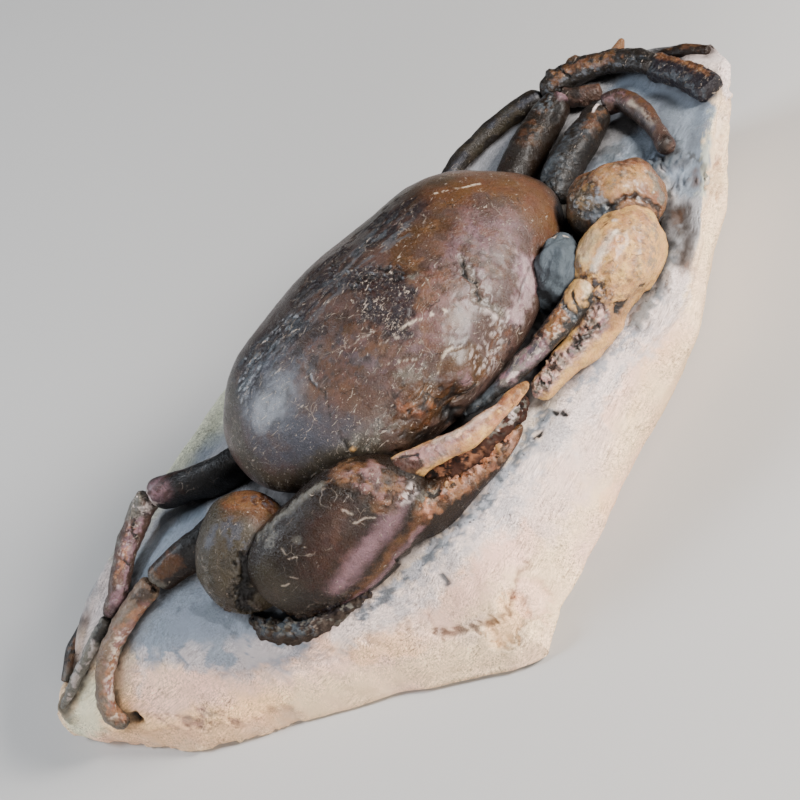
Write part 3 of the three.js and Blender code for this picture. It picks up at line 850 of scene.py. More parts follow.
def shell_material(name, colours, mottle=0.22, size=110.0, gloss=0.32, cracks=110.0, coat=0.35):
    """Lacquered mineral shell: mottled tone, pale scratches where crust is high, and a net of cracks."""
    material, sockets, tone, hollow, crust = new_material(name, gloss, coat)
    tree = material.node_tree
    mottled = use(tree, mottle_group, {"Colour": tone, "Size": size, "Light": mottle, "Hue": 0.05})["Colour"]
    fleck, soot = opaque(colours.fleck), opaque(colours.soot)
    marked = use(tree, flecks_group, {"Colour": mottled, "Fleck": fleck, "Amount": crust})
    net = use(tree, crackle_group, {"Size": cracks})
    cracked = blend(tree, net["Pale"] * 0.3, marked["Colour"], fleck)
    cracked = blend(tree, net["Dark"] * 0.7, cracked, soot)
    place = place_in(tree)
    worn = noise(tree, place, 1500.0, 3.0, 0.7)
    rougher = between(tree, worn, 0.35, 0.65, gloss - 0.08, gloss + 0.18)
    join(tree, (rougher + hollow * 0.3).at_most(1.0), sockets["Roughness"])
    grain = noise(tree, place, 2000.0, 2.0, 0.7)
    broad = noise(tree, place, 900.0, 3.0, 0.75)
    height = grain * 0.6 + broad * 0.75 + marked["Height"] * 0.35 + net["Pale"] * 0.2 - net["Dark"] * 0.3
    finish_shader(tree, sockets, cracked, hollow, colours.soot, height, 1.0, 0.0005)
    return material


def stone_material(name, colours):
    """Dry ground stone: mottled tone, dark grains, and tool marks that are fainter where it is dark."""
    material, sockets, tone, hollow, crust = new_material(name, 0.8, 0.0)
    tree = material.node_tree
    mottled = use(tree, mottle_group, {"Colour": tone, "Size": 60.0, "Light": 0.05, "Hue": 0.03})["Colour"]
    marked = use(tree, brushed_group, {
        "Colour": mottled, "Dark": opaque(colours.crumb), "Hairs": between(tree, tone, 0.1, 0.5, 0.7, 2.0),
        "Grains": crust + 0.14,
    })
    grain = noise(tree, place_in(tree), 1100.0, 4.0, 0.65)
    height = grain * 0.6 + marked["Height"]
    finish_shader(tree, sockets, marked["Colour"], hollow, colours.soot, height, 0.6, 0.0006)
    return material


# ---------- the stone block ----------

BLOCK_MARKS = [
    # the ground front wall
    Mark([[-132, -8, 12], [-116, -27, 14], [-98, -40, 12]], 17, "warm", 0.85),
    Mark([[-118, -17, 20], [-104, -28, 20], [-72, -49, 19], [-40, -67, 18], [7, -60, 20], [53, -49, 29]],
         12, "pink", 0.9),
    patches([[-88, -45, 14], [-60, -61, 12], [-30, -70, 16], [10, -60, 16], [45, -50, 22]], 18, "warm", 0.5,
            0.1, 26),
    patches([[-40, -66, 20], [0, -60, 22], [40, -50, 27]], 16, "frost", 0.45, 0, 18),
    Mark([[95, -22, 28], [75, -38, 22], [50, -46, 17], [20, -54, 10]], 9, "cream", 0.8, soft=0.9),
    patches([[33, -53, 22], [39, -52, 24]], 4, "tan", 0.4, 0.1, 3),
    # slate around the legs
    Mark([[-104, -13, 33], [-98, -18, 33], [-92, -28, 29], [-80, -38, 27]], 15, "slate", 0.97, soft=0.4,
         ragged=0.25),
    patches([[-100, -16, 33], [-90, -28, 29], [-80, -36, 28]], 12, "deep_slate", 0.45, 0.05, 8),
    patches([[-107, -20, 27], [-96, -33, 24], [-80, -43, 24]], 6, "frost", 0.5, -0.2, 5),
    Mark([[-82, 4, 39], [-96, 6, 37], [-90, 0, 38]], 13, "slate", 0.95),
    patches([[-82, 4, 39], [-96, 4, 37]], 10, "deep_slate", 0.4, 0, 7),
    Mark([[-108, 16, 34], [-123, 8, 26], [-132, 10, 20]], 8, "frost", 0.75),
    patches([[-114, 22, 30], [-128, 18, 20], [-140, 12, 14]], 5, "cream", 0.6, -0.3),
    Mark([[-134, 1, 17], [-139, 2, 12]], 9, "green", 0.85),
    Mark([[-145, 8, 9], [-140, 6, 5]], 5, "green", 0.9),
    Mark([[-50, 36, 42], [-62, 33, 41], [-80, 28, 39], [-98, 26, 35]], 11, "green", 0.85),
    Mark([[-62, 25, 42], [-76, 19, 40]], 5, "slate", 0.5),
    # the flat facet and the corner behind the left claw
    Mark([[98, 26, 41], [107, -2, 41], [94, 2, 41], [90, -18, 38]], 11, "slate", 0.97, soft=0.4),
    Mark([[104, 0, 41], [97, -12, 39], [88, -23, 36]], 6, "deep_slate", 0.35, soft=0.9),
    Mark([[107, -7, 41], [98, -17, 38], [88, -27, 36]], 2.2, "green", 0.4, ragged=0.8),
    Mark([[118, 6, 38], [111, -6, 36], [103, -15, 33], [94, -24, 30], [84, -33, 28], [74, -41, 26]], 7,
         "cream", 0.95, rise=0.2, soft=0.35, ragged=0.4, grit=0.3),
    Mark([[113, 14, 41], [119, 18, 40], [120, 11, 39], [116, 3, 39]], 6, "frost", 0.9, soft=0.25, rise=0.4),
    patches([[117, 8, 39], [113, -2, 38], [106, -11, 36], [99, -19, 34]], 1.2, "blush", 0.35, -0.1, 4,
            rise=-1.1, ragged=0.9),
    Mark([[110, -6, 37], [106, -10, 36]], 2.6, "ivory", 0.5, rise=-1.5, soft=0.3, ragged=0.8),
    Mark([[98, -19, 34], [93, -25, 33]], 3, "tan", 0.35, rise=-1.5, soft=0.3, ragged=0.8),
    Mark([[88, -31, 31], [83, -35, 30]], 2.2, "ivory", 0.5, rise=-1.4, soft=0.3, ragged=0.8),
    Mark([[118, 8, 36], [112, -6, 33]], 2.4, "frost", 0.4, rise=-1.5, ragged=0.9),
    # frosted band below the claws, and the crumbs that the tool left
    Mark([[-66, -54, 24], [-50, -60, 24], [-30, -62, 25], [-10, -60, 26], [8, -55, 28], [24, -51, 29],
          [40, -49, 31], [56, -46, 32], [66, -42, 33]], 8.5, "frost", 0.93, ragged=0.5),
    patches([[-50, -60, 25], [-10, -60, 27], [24, -51, 30], [56, -46, 32]], 7, "slate", 0.4, 0, 3,
            crust=0.35),
    Mark([[-58, -56, 27], [-38, -58, 28], [-16, -58, 29], [2, -53, 31], [16, -49, 32]], 2.6, "slate", 0.7,
         ragged=0.8, crust=0.5),
    patches([[-58, -55, 26], [-38, -58, 28], [-16, -58, 29], [2, -53, 31], [16, -49, 32]], 3, "deep_slate",
            0.75, 0.1, 1.8, grit=0.3, crust=0.5, rise=0.2),
    patches([[24, -49, 31], [42, -47, 32], [58, -43, 33]], 2.6, "slate", 0.7, -0.2, 2, ragged=0.8),
    crack([[9, -53, 33], [11, -52, 31]], 1.1, 0.9, 0.8, 0.9, 0.6),
    crack([[17, -50, 32], [19, -51, 29]], 1, 0.9, 0.8, 0.9, 0.6),
    Mark([[-34, -62, 23], [-33, -63, 20]], 0.9, "deep_slate", 0.8, rise=-0.4, ragged=0.9, hollow=0.4),
    # matter beside the left claw
    Mark([[84, -8, 41], [79, -20, 39], [73, -31, 37], [63, -40, 34], [50, -45, 32]], 3.4, "ash", 0.7,
         rise=1, ragged=0.5, grit=0.12, crust=0.4),
    patches([[84, -10, 41], [76, -27, 38], [66, -39, 35]], 3.2, "frost", 0.35, 0, 5),
    patches([[84, -8, 41], [76, -27, 38], [68, -38, 35], [60, -42, 33]], 3.2, "deep_slate", 0.7, -0.05, 6,
            grit=0.12),
    Mark([[79, -26, 38], [77, -31, 37], [74, -36, 35], [70, -40, 34]], 4.6, "crumb", 0.92, ragged=0.5,
         rise=-0.8, grit=0.1, soft=1),
    patches([[78, -27, 38], [75, -34, 36]], 3.2, "amber", 0.6, -0.1, 5),
    patches([[74, -37, 35], [68, -41, 33], [70, -44, 31]], 4.5, "tan", 0.4, 0, 6),
    patches([[86, -8, 41], [89, -15, 40], [88, -21, 38], [84, -19, 39]], 4.4, "crumb", 0.6, -0.35, 6,
            rise=0.9, grit=0.15, ragged=0.5, soft=0.9),
    patches([[86, -8, 41], [90, -15, 40], [87, -24, 37]], 5, "slate", 0.6, -0.1, 6, soft=0.9),
    Mark([[90, -19, 39], [88, -23, 38]], 2.2, "rust", 0.6, soft=1),
    Mark([[93, -12, 39], [93, -18, 38], [90, -25, 36]], 1.2, "olive", 0.6, ragged=0.8),
    # painted shade in the gap between the back and the left claw
    crack([[60, 1, 43], [50, -12, 43], [40, -28, 41], [26, -37, 38]], 5, 0.8, 3, 0.7),
    # matter around the left legs
    Mark([[44, 10, 43], [51, 2, 43], [60, 3, 43]], 7, "ash", 0.85, rise=1.6, grit=0.4, ragged=0.6),
    patches([[44, 10, 43], [52, 3, 43], [60, 4, 43]], 7, "deep_slate", 0.8, -0.1, 4),
    Mark([[70, 6, 42], [80, 0, 42], [86, 6, 42]], 8, "slate", 0.9, rise=0.6, grit=0.12),
    patches([[68, 8, 42], [76, 12, 42], [80, 1, 42]], 8, "deep_slate", 0.7, -0.1, 7, grit=0.12),
    # painted shade on the stone between the left legs, in this crack and the dark mark after it
    crack([[60, 16, 43], [72, 22, 43], [82, 29, 43]], 4, 0.85, 0.5, 0.5),
    Mark([[56, 34, 43], [72, 40, 43]], 4, "bark", 0.85, hollow=0.3),
    Mark([[84, 27, 43], [90, 26, 43]], 4, "deep_slate", 0.8, rise=0.8, grit=0.4),
    Mark([[92, -7, 42], [87, -11, 42], [83, -8, 42]], 3, "deep_slate", 0.8, rise=0.8, grit=0.4, ragged=0.5),
    # beds of the right legs; the deep slate under the thighs is painted shade
    Mark([[-52, 2, 42], [-72, 8, 41], [-84, 14, 40]], 6, "deep_slate", 0.5, rise=0.8),
    Mark([[-70, -12, 39], [-88, -10, 38], [-97, -8, 37]], 6, "deep_slate", 0.4, rise=0.8),
    Mark([[-117, 3, 30], [-129, 5, 23], [-144, 8, 13]], 4.5, "ash", 0.75, rise=1.4, grit=0.4, ragged=0.5),
    Mark([[-102, -8, 34], [-116, -8, 28], [-126, -10, 21]], 5, "ash", 0.4, rise=0.6, ragged=0.5),
    patches([[-112, -13, 27], [-122, -13, 20]], 4, "frost", 0.5, -0.1, 4),
    # painted shade in a hole
    crack([[-127, -13, 12]], 2.6, 1, 2.6, 0.95, 0.3),
    # edges, chips and cracks
    Mark([[-138, -5, 4], [-126, -19, 5], [-115, -29, 5], [-105, -37, 4], [-92, -44, 3]], 5, "blush", 0.3,
         rise=-0.8, soft=0.3, ragged=0.5),
    patches([[-121, -20, 10], [-112, -29, 10], [-104, -35, 9]], 3, "blush", 0.5, -0.1, 5, rise=-0.7,
            ragged=0.9, grit=0.25),
    patches([[-118, -23, 9], [-106, -33, 9]], 3, "ash", 0.5, 0.1, 2.5, rise=-0.3),
    Mark([[-31, -80, 10], [-26, -80, 13]], 5, "warm", 0.6, rise=-2, soft=0.25, ragged=0.8, grit=0.5),
    Mark([[-20, -79, 8], [-16, -77, 12]], 4.5, "pink", 0.6, rise=-1.6, soft=0.2, ragged=0.8, grit=0.5),
    Mark([[-24, -82, 6]], 3, "cream", 0.6, rise=1.2, soft=0.3, ragged=0.8),
    Mark([[-46, -68, 14], [-36, -76, 13], [-28, -80, 15], [-20, -78, 16], [-13, -74, 18]], 1.2, "tan", 0.5,
         rise=-0.9, hollow=0.4, ragged=0.9),
    Mark([[-100, -35, 20], [-85, -46, 17], [-70, -55, 17]], 2.2, "frost", 0.3, rise=-0.5, ragged=1),
    Mark([[-62, -60, 20], [-45, -66, 19]], 1.8, "pink", 0.3, rise=-0.4, ragged=1),
]
BLOCK_RELIEF = [(46, 0.6, 2), (14, 0.45, 3), (4.0, 0.14, 3)]

BLOCK_KNOBS = {
    "matrix_lump": [[36, -25, 37, 5, 5.5], [38, -28.5, 43, 6, 6], [40.5, -30.5, 49, 6.5, 5.5],
                    [43.5, -29, 52.5, 6.2, 5.5], [47.5, -23, 51, 4.8, 4.4], [52, -15, 44.5, 4, 4]],
    "matrix_bank": [[-81, -35, 31, 2.5, 2.5], [-79, -41, 29, 3.2, 3.2], [-75, -46, 28, 3.4, 3.4],
                    [-68, -50.5, 27.8, 2.2, 2.4], [-59, -53, 27, 1.6, 1.7], [-51, -54, 27.5, 1.3, 1.4]],
    "matrix_fill": [[-24, -47, 38, 3, 5], [-14, -48.5, 38.5, 4.5, 6], [-4, -49, 38.5, 4.5, 5.5],
                    [6, -48.5, 38.5, 3.5, 4.5], [14, -47.5, 38, 2.5, 3]],
    "matrix_ledge": [[-9, -67, 3, 4, 3], [-1, -66, 5, 5, 4], [7, -61, 6, 3, 3]],
}
KNOB_LOOKS = {       # base colour, crust, relief layers and marks
    "matrix_lump": ("deep_slate", 0.1, [(7, 1.5, 3), (2.2, 0.45, 3)], [
        patches([[40, -22, 52], [46, -22, 50]], 9, "slate", 0.6, 0, 1.4),
        Mark([[44, -24, 54], [42, -30, 50]], 5, "slate", 0.35, soft=1),
        Mark([[46, -21, 56], [48, -24, 56], [51, -23, 53]], 0.9, "ivory", 0.8, ragged=0.5, rise=0.2),
        # painted shade on the lump's side towards the back
        Mark([[36, -23, 47], [37, -30, 50], [38, -34, 44]], 2, "soot", 0.7, ragged=0.6, hollow=0.5),
        crack([[44, -24, 55], [47, -30, 49]], 0.9, 0.5, 0.4, 0.4, 0.9),
    ]),
    "matrix_bank": ("crumb", 0.1, [(4, 0.9, 3), (1.3, 0.6, 3)], [
        *washes([[-79, -42, 33], [-68, -51, 30]], 5, ("deep_slate", 0.8, -0.1, 1.4),
                ("fleck", 0.3, 0.35, 0.9)),
        patches([[-72, -48, 31], [-52, -55, 29]], 3, "plum", 0.8, 0, 1.8),
        patches([[-79, -42, 33], [-60, -54, 28]], 5, "ash", 0.7, 0.2, 1.6),
        patches([[-80, -38, 34], [-74, -46, 32]], 3, "olive", 0.8, 0.1, 2),
    ]),
    "matrix_fill": ("chestnut", 0.1, [(3.5, 0.8, 3), (1.2, 0.45, 3)], [
        patches([[-22, -50, 42], [-6, -52, 43], [2, -52, 43]], 6, "salmon", 0.6, 0, 1.8),
        patches([[-22, -50, 42], [0, -52, 43], [12, -50, 42]], 6, "soot", 0.8, 0.15, 1.4, rise=-0.4),
        patches([[2, -52, 43], [12, -50, 42]], 5, "ash", 0.8, 0, 1.6),
        patches([[3, -52, 43], [10, -51, 42]], 4, "frost", 0.5, 0.25, 1.2),
    ]),
    "matrix_ledge": ("pink", 0.1, [(6, 0.8, 3), (2, 0.2, 3)], [Mark([[-1, -68, 6]], 4, "blush", 0.3)]),
}


FOOT = 0.05                # what lies below this is the flat underside, and stays flat
KNOB_FOOT = 0.2            # no point of a knob lies below this
KNOB_FORM = dict(sides=110, steps=160, blunt=0.3)
TOP_WAVES, TOP_SEED = 22.0, 5
FLAT = (0.45, 0.8)         # how far up the surface faces where the slate top begins, and where it is whole
HIGH = (20, 34)            # the same for the height


def make_block(sizes, colours):
    """The block and its knobs, dressed."""
    surface = Surface(*block_form(), base=colours.cream, grain=2.1)
    ground = surface.points[:, 2] < FOOT
    wander = rough(surface.points, TOP_WAVES, 3, TOP_SEED)
    level = smooth(*FLAT, surface.normals[:, 2] + 0.15 * wander)
    top = level * smooth(*HIGH, surface.points[:, 2] + 4 * wander)
    surface.tint(top, colours.slate, 0.85)
    surface.tint(smooth(0.0, 0.8, wander) * (1 - top), colours.pink, 0.7)
    touch = surface.dress("matrix", "block", 0, BLOCK_RELIEF, BLOCK_MARKS, sizes, colours)
    # painted shade where the claws, legs and back touch the stone, in the crumb colour; partly the crumbly
    # matter there
    surface.tint(touch, colours.crumb, 0.6)
    surface.points[ground, 2] = 0.0
    surface.points[:, 2] = np.maximum(surface.points[:, 2], 0.0)
    stone = stone_material("ground_stone", colours)
    surface.to_object("matrix_skin", stone, "matrix", "matrix_stone")
    for k, (name, stations) in enumerate(BLOCK_KNOBS.items()):
        knob = dressed_limb(name, "knob", k, (stations, KNOB_FORM), KNOB_LOOKS[name], sizes, colours)
        knob.points[:, 2] = np.maximum(knob.points[:, 2], KNOB_FOOT)
        knob.to_object(name, stone, None, "matrix_stone")


# ---------- the back shell ----------

BACK_MARKS = [
    # broad colours
    # the grey film over the left side is partly the shell's film, partly a painted bluish-grey sheen, in this
    # and the next mark
    Mark([[-39, -12, 71], [-38, -26, 67], [-37, -32, 63]], 22, "film", 0.9, soft=0.9, ragged=0.5,
         crust=0.55),
    Mark([[-26, -17, 74], [-12, -30, 72]], 13, "film", 0.5, soft=1, ragged=0.6),
    Mark([[-28, -26, 70], [-24, -30, 69]], 7, "tan", 0.28, soft=1),
    Mark([[52, -11, 59], [51, -3, 63], [43, 0, 70], [34, 3, 74]], 13, "rust", 0.95, soft=0.5, ragged=0.5),
    Mark([[48, -18, 55], [44, -24, 51]], 8, "rust", 0.8, soft=0.7, ragged=0.5),
    Mark([[34, 6, 74], [23, 10, 75], [10, 14, 74]], 9, "olive", 0.7, soft=0.9),
    Mark([[54, 4, 50], [40, 24, 54], [0, 30, 58], [-34, 22, 60], [-50, 8, 58]], 15, "umber", 0.85),
    # a pale blush over the right side, partly painted sheen
    Mark([[24, -21, 72], [30, -19, 71], [38, -20, 66]], 10, "blush", 0.36, soft=0.8, ragged=0.6),
    Mark([[12, -28, 72], [20, -32, 67], [6, -35, 69]], 9, "blush", 0.22, soft=0.8, ragged=0.6),
    patches([[28, -21, 70]], 5, "ash", 0.4, -0.2, 2, soft=1, ragged=0.6),
    Mark([[12, -19, 76], [14, -14, 77], [20, -11, 76], [25, -13, 75]], 6.5, "amber", 0.75, ragged=0.5,
         soft=0.6),
    Mark([[14, -19, 76]], 3, "tan", 0.55, soft=1, ragged=0.6),
    Mark([[24, -12, 76]], 3, "tan", 0.4, soft=1, ragged=0.6),
    Mark([[-44, 2, 66], [-50, -8, 62], [-54, -14, 57], [-53, -23, 51], [-46, -31, 53], [-36, -37, 55],
          [-26, -41, 55]], 7, "olive", 0.9, crust=0.6, ragged=0.5),
    Mark([[-52, -20, 50], [-44, -31, 50], [-32, -39, 51]], 3.4, "umber", 0.7, crust=0.6, ragged=0.6),
    patches([[-20, -30, 71], [0, -34, 71], [20, -24, 72]], 20, "rust", 0.5, 0.12, 7),
    patches([[-30, -14, 73], [-10, -28, 73]], 22, "umber", 0.6, 0.15, 3.2, crust=0.5),
    patches([[-10, -33, 70], [14, -33, 67], [32, -24, 68]], 16, "blush", 0.15, 0.15, 2.6, rise=0.08),
    *washes([[-20, -26, 72], [6, -30, 71], [30, -22, 69]], 17, ("rust", 0.5, 0.1, 2.4),
            ("umber", 0.45, 0.2, 1.5)),
    # the weathered rear, in streaks along its edge, darker partly in its own colour and partly as painted
    # shade
    Mark([[23, 2, 76], [8, 7, 76], [-8, 4, 77], [-23, 2, 76], [-40, 6, 70]], 13, "bark", 0.6, soft=0.9),
    patches([[21, 0, 77], [8, 3, 77], [-8, -2, 78], [-20, -5, 77], [-36, -2, 73]], 10, "plum", 0.75, -0.1,
            2.4, stretch=3, rise=-0.25, grit=0.25, crust=0.6, ragged=0.6),
    patches([[16, -5, 78], [4, -5, 79], [-10, -8, 78], [-28, -6, 76], [-40, 0, 70]], 9, "deep_slate", 0.5,
            0.05, 1.4, stretch=3, rise=0.12, crust=0.6),
    patches([[14, 1, 77], [-6, -3, 79], [-24, -5, 76]], 10, "soot", 0.6, 0.1, 1, stretch=2),
    patches([[-10, -12, 77], [-24, -10, 76]], 9, "plum", 0.6, 0.1, 2, stretch=2, rise=-0.15),
    # the granular patch
    Mark([[0, -13, 78], [4, -19, 77], [5, -26, 75], [0, -29, 74], [-3, -22, 77]], 6.4, "plum", 0.85,
         rise=-0.3, soft=0.5, ragged=0.7, grit=0.3, crust=0.75),
    patches([[0, -16, 78], [4, -24, 76], [0, -29, 74]], 7, "chestnut", 0.5, 0.1, 0.9),
    patches([[-2, -13, 78], [7, -15, 78], [9, -20, 77]], 2.8, "soot", 0.8, -0.2, 1.2, rise=-0.3),
    patches([[9, -24, 75], [8, -29, 73]], 1.6, "soot", 0.5, 0, 1.4),
    Mark([[11, -23, 75]], 1.6, "ash", 0.8, soft=0.6, ragged=0.5, rise=0.2),
    patches([[0, -32, 72], [-3, -31, 73]], 2.4, "soot", 0.6, -0.2, 1.6, ragged=0.8),
    # cracks and grooves, with painted shade in them
    Mark([[24, -12, 76]], 1.2, "soot", 0.5, rise=-0.4, ragged=0.6),
    patches([[-26, -23, 73], [-27, -26, 72], [-26, -30, 70], [-28, -33, 67], [-30, -36, 62],
             [-31, -39, 58]], 0.6, "soot", 0.85, -0.45, 2, rise=-0.3, ragged=0.6, hollow=0.35, soft=1),
    Mark([[24, -25, 70], [22, -28, 69], [23, -30, 67], [21, -34, 64], [22, -36, 59], [23, -37, 56]], 2,
         "ash", 0.5, rise=-0.4, ragged=0.8, grit=0.3, crust=0.7),
    crack([[24, -25, 70], [22, -28, 69], [23, -31, 66], [21, -34, 64]], 0.7, 0.9, 0.6, 0.6, 0.8),
    Mark([[20, -35.5, 61], [21, -37, 58]], 1.6, "frost", 0.5, rise=0.7, soft=1),
    Mark([[37, -27, 58], [35, -30, 55], [31, -33, 54], [26, -36, 53]], 4.4, "blush", 0.7, soft=0.8,
         ragged=0.6),
    # painted highlight beside the crack
    Mark([[37, -27, 58], [35, -30, 55], [31, -33, 54], [26, -36, 53]], 3.6, "frost", 0.2, soft=1,
         ragged=0.8),
    Mark([[37, -27, 56], [33, -31, 56], [29, -34, 55]], 0.6, "soot", 0.6, rise=-0.25, ragged=0.8, soft=1),
    patches([[-12, -35, 69], [-7, -37, 68], [-2, -39, 66]], 0.5, "fleck", 0.7, 0.1, 1.2, ragged=0.8),
    patches([[-7, -32, 72], [-3, -33, 71], [1, -35, 70]], 0.5, "fleck", 0.7, 0.1, 1.2, ragged=0.8),
    patches([[-1, -32, 72], [7, -33, 70], [12, -34, 68]], 0.6, "ivory", 0.65, 0, 1.2, ragged=0.8, rise=0.1),
    patches([[28, 0, 75], [38, -3, 73], [43, -3, 70]], 0.55, "ivory", 0.55, 0, 1.2, ragged=0.8, rise=0.1),
    patches([[-14, -27, 74], [-6, -29, 74]], 0.5, "fleck", 0.6, 0.1, 1.2, ragged=0.8),
    # the broken front edge over the face
    Mark([[-16, -38, 66], [-11, -40, 64], [-12, -42, 62]], 4.5, "mauve", 0.4, rise=0.35, soft=0.15,
         ragged=0.5),
    patches([[-7, -40, 65], [-4, -41, 64], [-3, -43, 61]], 4.2, "ash", 0.5, -0.1, 1.5, ragged=0.8,
            crust=0.85, soft=0.9, grit=0.35),
    Mark([[0, -43, 61], [5, -41, 63], [9, -41, 61]], 0.6, "ivory", 0.5, rise=0.3, ragged=0.8, soft=0.9),
    Mark([[3, -44, 60], [8, -43, 58], [6, -44, 54]], 4.4, "amber", 0.9, rise=-0.35, soft=0.3, ragged=0.5),
    Mark([[4, -44, 56]], 3, "blush", 0.6, soft=0.8, ragged=0.6),
    Mark([[-14, -45, 56], [-8, -45, 58], [-2, -45, 55]], 6.5, "amber", 0.92, rise=-0.4, soft=0.4,
         ragged=0.6, grit=0.35, crust=0.1),
    patches([[-12, -44, 60], [-8, -45, 58], [-8, -46, 55]], 4.5, "orange", 0.5, 0.05, 2.2, rise=0.4),
    patches([[-17, -45, 54], [-13, -45, 49], [-5, -44, 49]], 5, "umber", 0.85, -0.3, 3, rise=-0.2),
    patches([[-12, -44, 60], [-2, -45, 54], [6, -44, 52]], 7, "soot", 0.8, 0.3, 1.8, hollow=0.3, rise=-0.3),
    crack([[-4, -45, 50], [-5, -43, 46]], 2.4, 0.9, 0.8, 0.6, 0.7),
    patches([[-30, -39, 57], [-24, -41, 57], [-18, -43, 59]], 5, "ash", 0.5, 0.1, 1.6, crust=0.8),
    patches([[-22, -43, 50], [-14, -46, 50]], 3.6, "soot", 0.75, 0.05, 1.8, hollow=0.3, grit=0.3),
    Mark([[-30, -39.5, 57]], 1, "honey", 0.8, rise=0.3, soft=0.7),
    # painted highlights among pale crumbs at the right of the front edge
    patches([[20, -38, 56], [14, -41, 53], [10, -43, 54]], 6, "frost", 0.35, 0.1, 0.9, grit=0.35, crust=0.9,
            rise=0.15),
    patches([[20, -38, 54], [14, -41, 51], [10, -43, 50]], 5, "rust", 0.7, 0.1, 1.8),
    patches([[24, -37, 51], [16, -41, 48]], 4, "soot", 0.7, 0.15, 1.8, hollow=0.3),
]
BACK_RELIEF = [(30, 0.6, 2), (9, 0.2, 3), (2.4, 0.06, 3)]
BACK_SHADE = (41, 46)      # heights between which the painted shade below the shell's edge fades


def make_back(sizes, colours):
    """The back shell, dressed."""
    surface = Surface(*back_form(sizes), base=colours.mauve, crust=0.42)
    surface.normals[0] = (0, 0, 1)
    surface.normals[-1] = (0, 0, -1)
    surface.lift(sum(height * np.exp(-np.sum((surface.points - place) ** 2, axis=1) / reach ** 2)
                     for *place, reach, height in BACK_LUMPS))
    surface.dress("carapace", "back", 0, BACK_RELIEF, BACK_MARKS, sizes, colours)
    # painted shade on the shell's underside, darker towards the bottom
    below = 1 - smooth(*BACK_SHADE, surface.points[:, 2])
    surface.hollow = np.maximum(surface.hollow, 0.8 * below)
    surface.to_object("back_shell", shell_material("back_mineral", colours), "carapace", "back_shell")


# ---------- claws and legs ----------

CLAW_FORMS = {
    "right_claw_wrist": ([[-84, -31, 34, 7, 8], [-76, -29, 39, 11.5, 13.5], [-66, -24, 45.2, 12, 14.5],
        [-56, -20, 47, 7, 8]], dict(sides=200, steps=170, squareness=2.1, blunt=0.3)),
    "right_claw_palm": ([[-71, -35, 34.5, 8.5, 11], [-62, -40, 38, 12, 16], [-50, -44, 40.3, 13, 17.8],
        [-38, -46, 42, 12.2, 17.6], [-29.5, -48.5, 38.6, 10.8, 14], [-23.5, -51, 35, 7.8, 8.4],
        [-17, -52.5, 34.4, 5.4, 6], [-10.5, -53, 34.2, 3.6, 3.8], [-3, -53, 34.4, 2.6, 2.8],
        [8, -51, 35.5, 1.4, 1.5]], dict(sides=230, steps=400, squareness=2.1, blunt=0.07)),
    "right_claw_finger": ([[-27, -47, 47, 4, 5.5], [-21, -49.5, 48, 3.6, 4.4], [-13, -52, 48.2, 3.3, 3.5],
        [-5, -54, 47, 3.3, 3.2], [3, -54, 46.8, 2.7, 2.6], [10, -53, 46.4, 2, 2],
        [16.5, -51, 45.5, 1.1, 1.2]], dict(sides=120, steps=280, blunt=0.08)),
    "left_claw_wrist": ([[56, -13, 44, 8.5, 9.5], [63.5, -18, 46.3, 11.5, 12], [71, -22, 46.3, 11, 11.8],
        [77, -27, 42, 6.5, 7]], dict(sides=200, steps=170, squareness=2.1, blunt=0.3)),
    "left_claw_palm": ([[70, -28, 41, 7, 8], [62, -32, 44, 10, 11.5], [54, -36, 44.2, 10.2, 12],
        [46, -40, 41.2, 7.2, 8.2], [38, -44, 38, 4, 5.5], [27, -45, 37.2, 3.5, 4.7],
        [16, -46, 36.1, 2.5, 3.7]], dict(sides=200, steps=320, squareness=2.1, blunt=0.08)),
    "left_claw_finger": ([[50, -38, 46, 5, 4.5], [43, -40, 47.5, 4.6, 4.2], [36, -42, 47, 4.2, 3.6],
        [27, -43.5, 46.5, 3.4, 3], [14, -44.5, 45.5, 2.6, 2.4], [-2, -44, 45, 1.4, 1.4]],
        dict(sides=120, steps=280, blunt=0.08)),
}

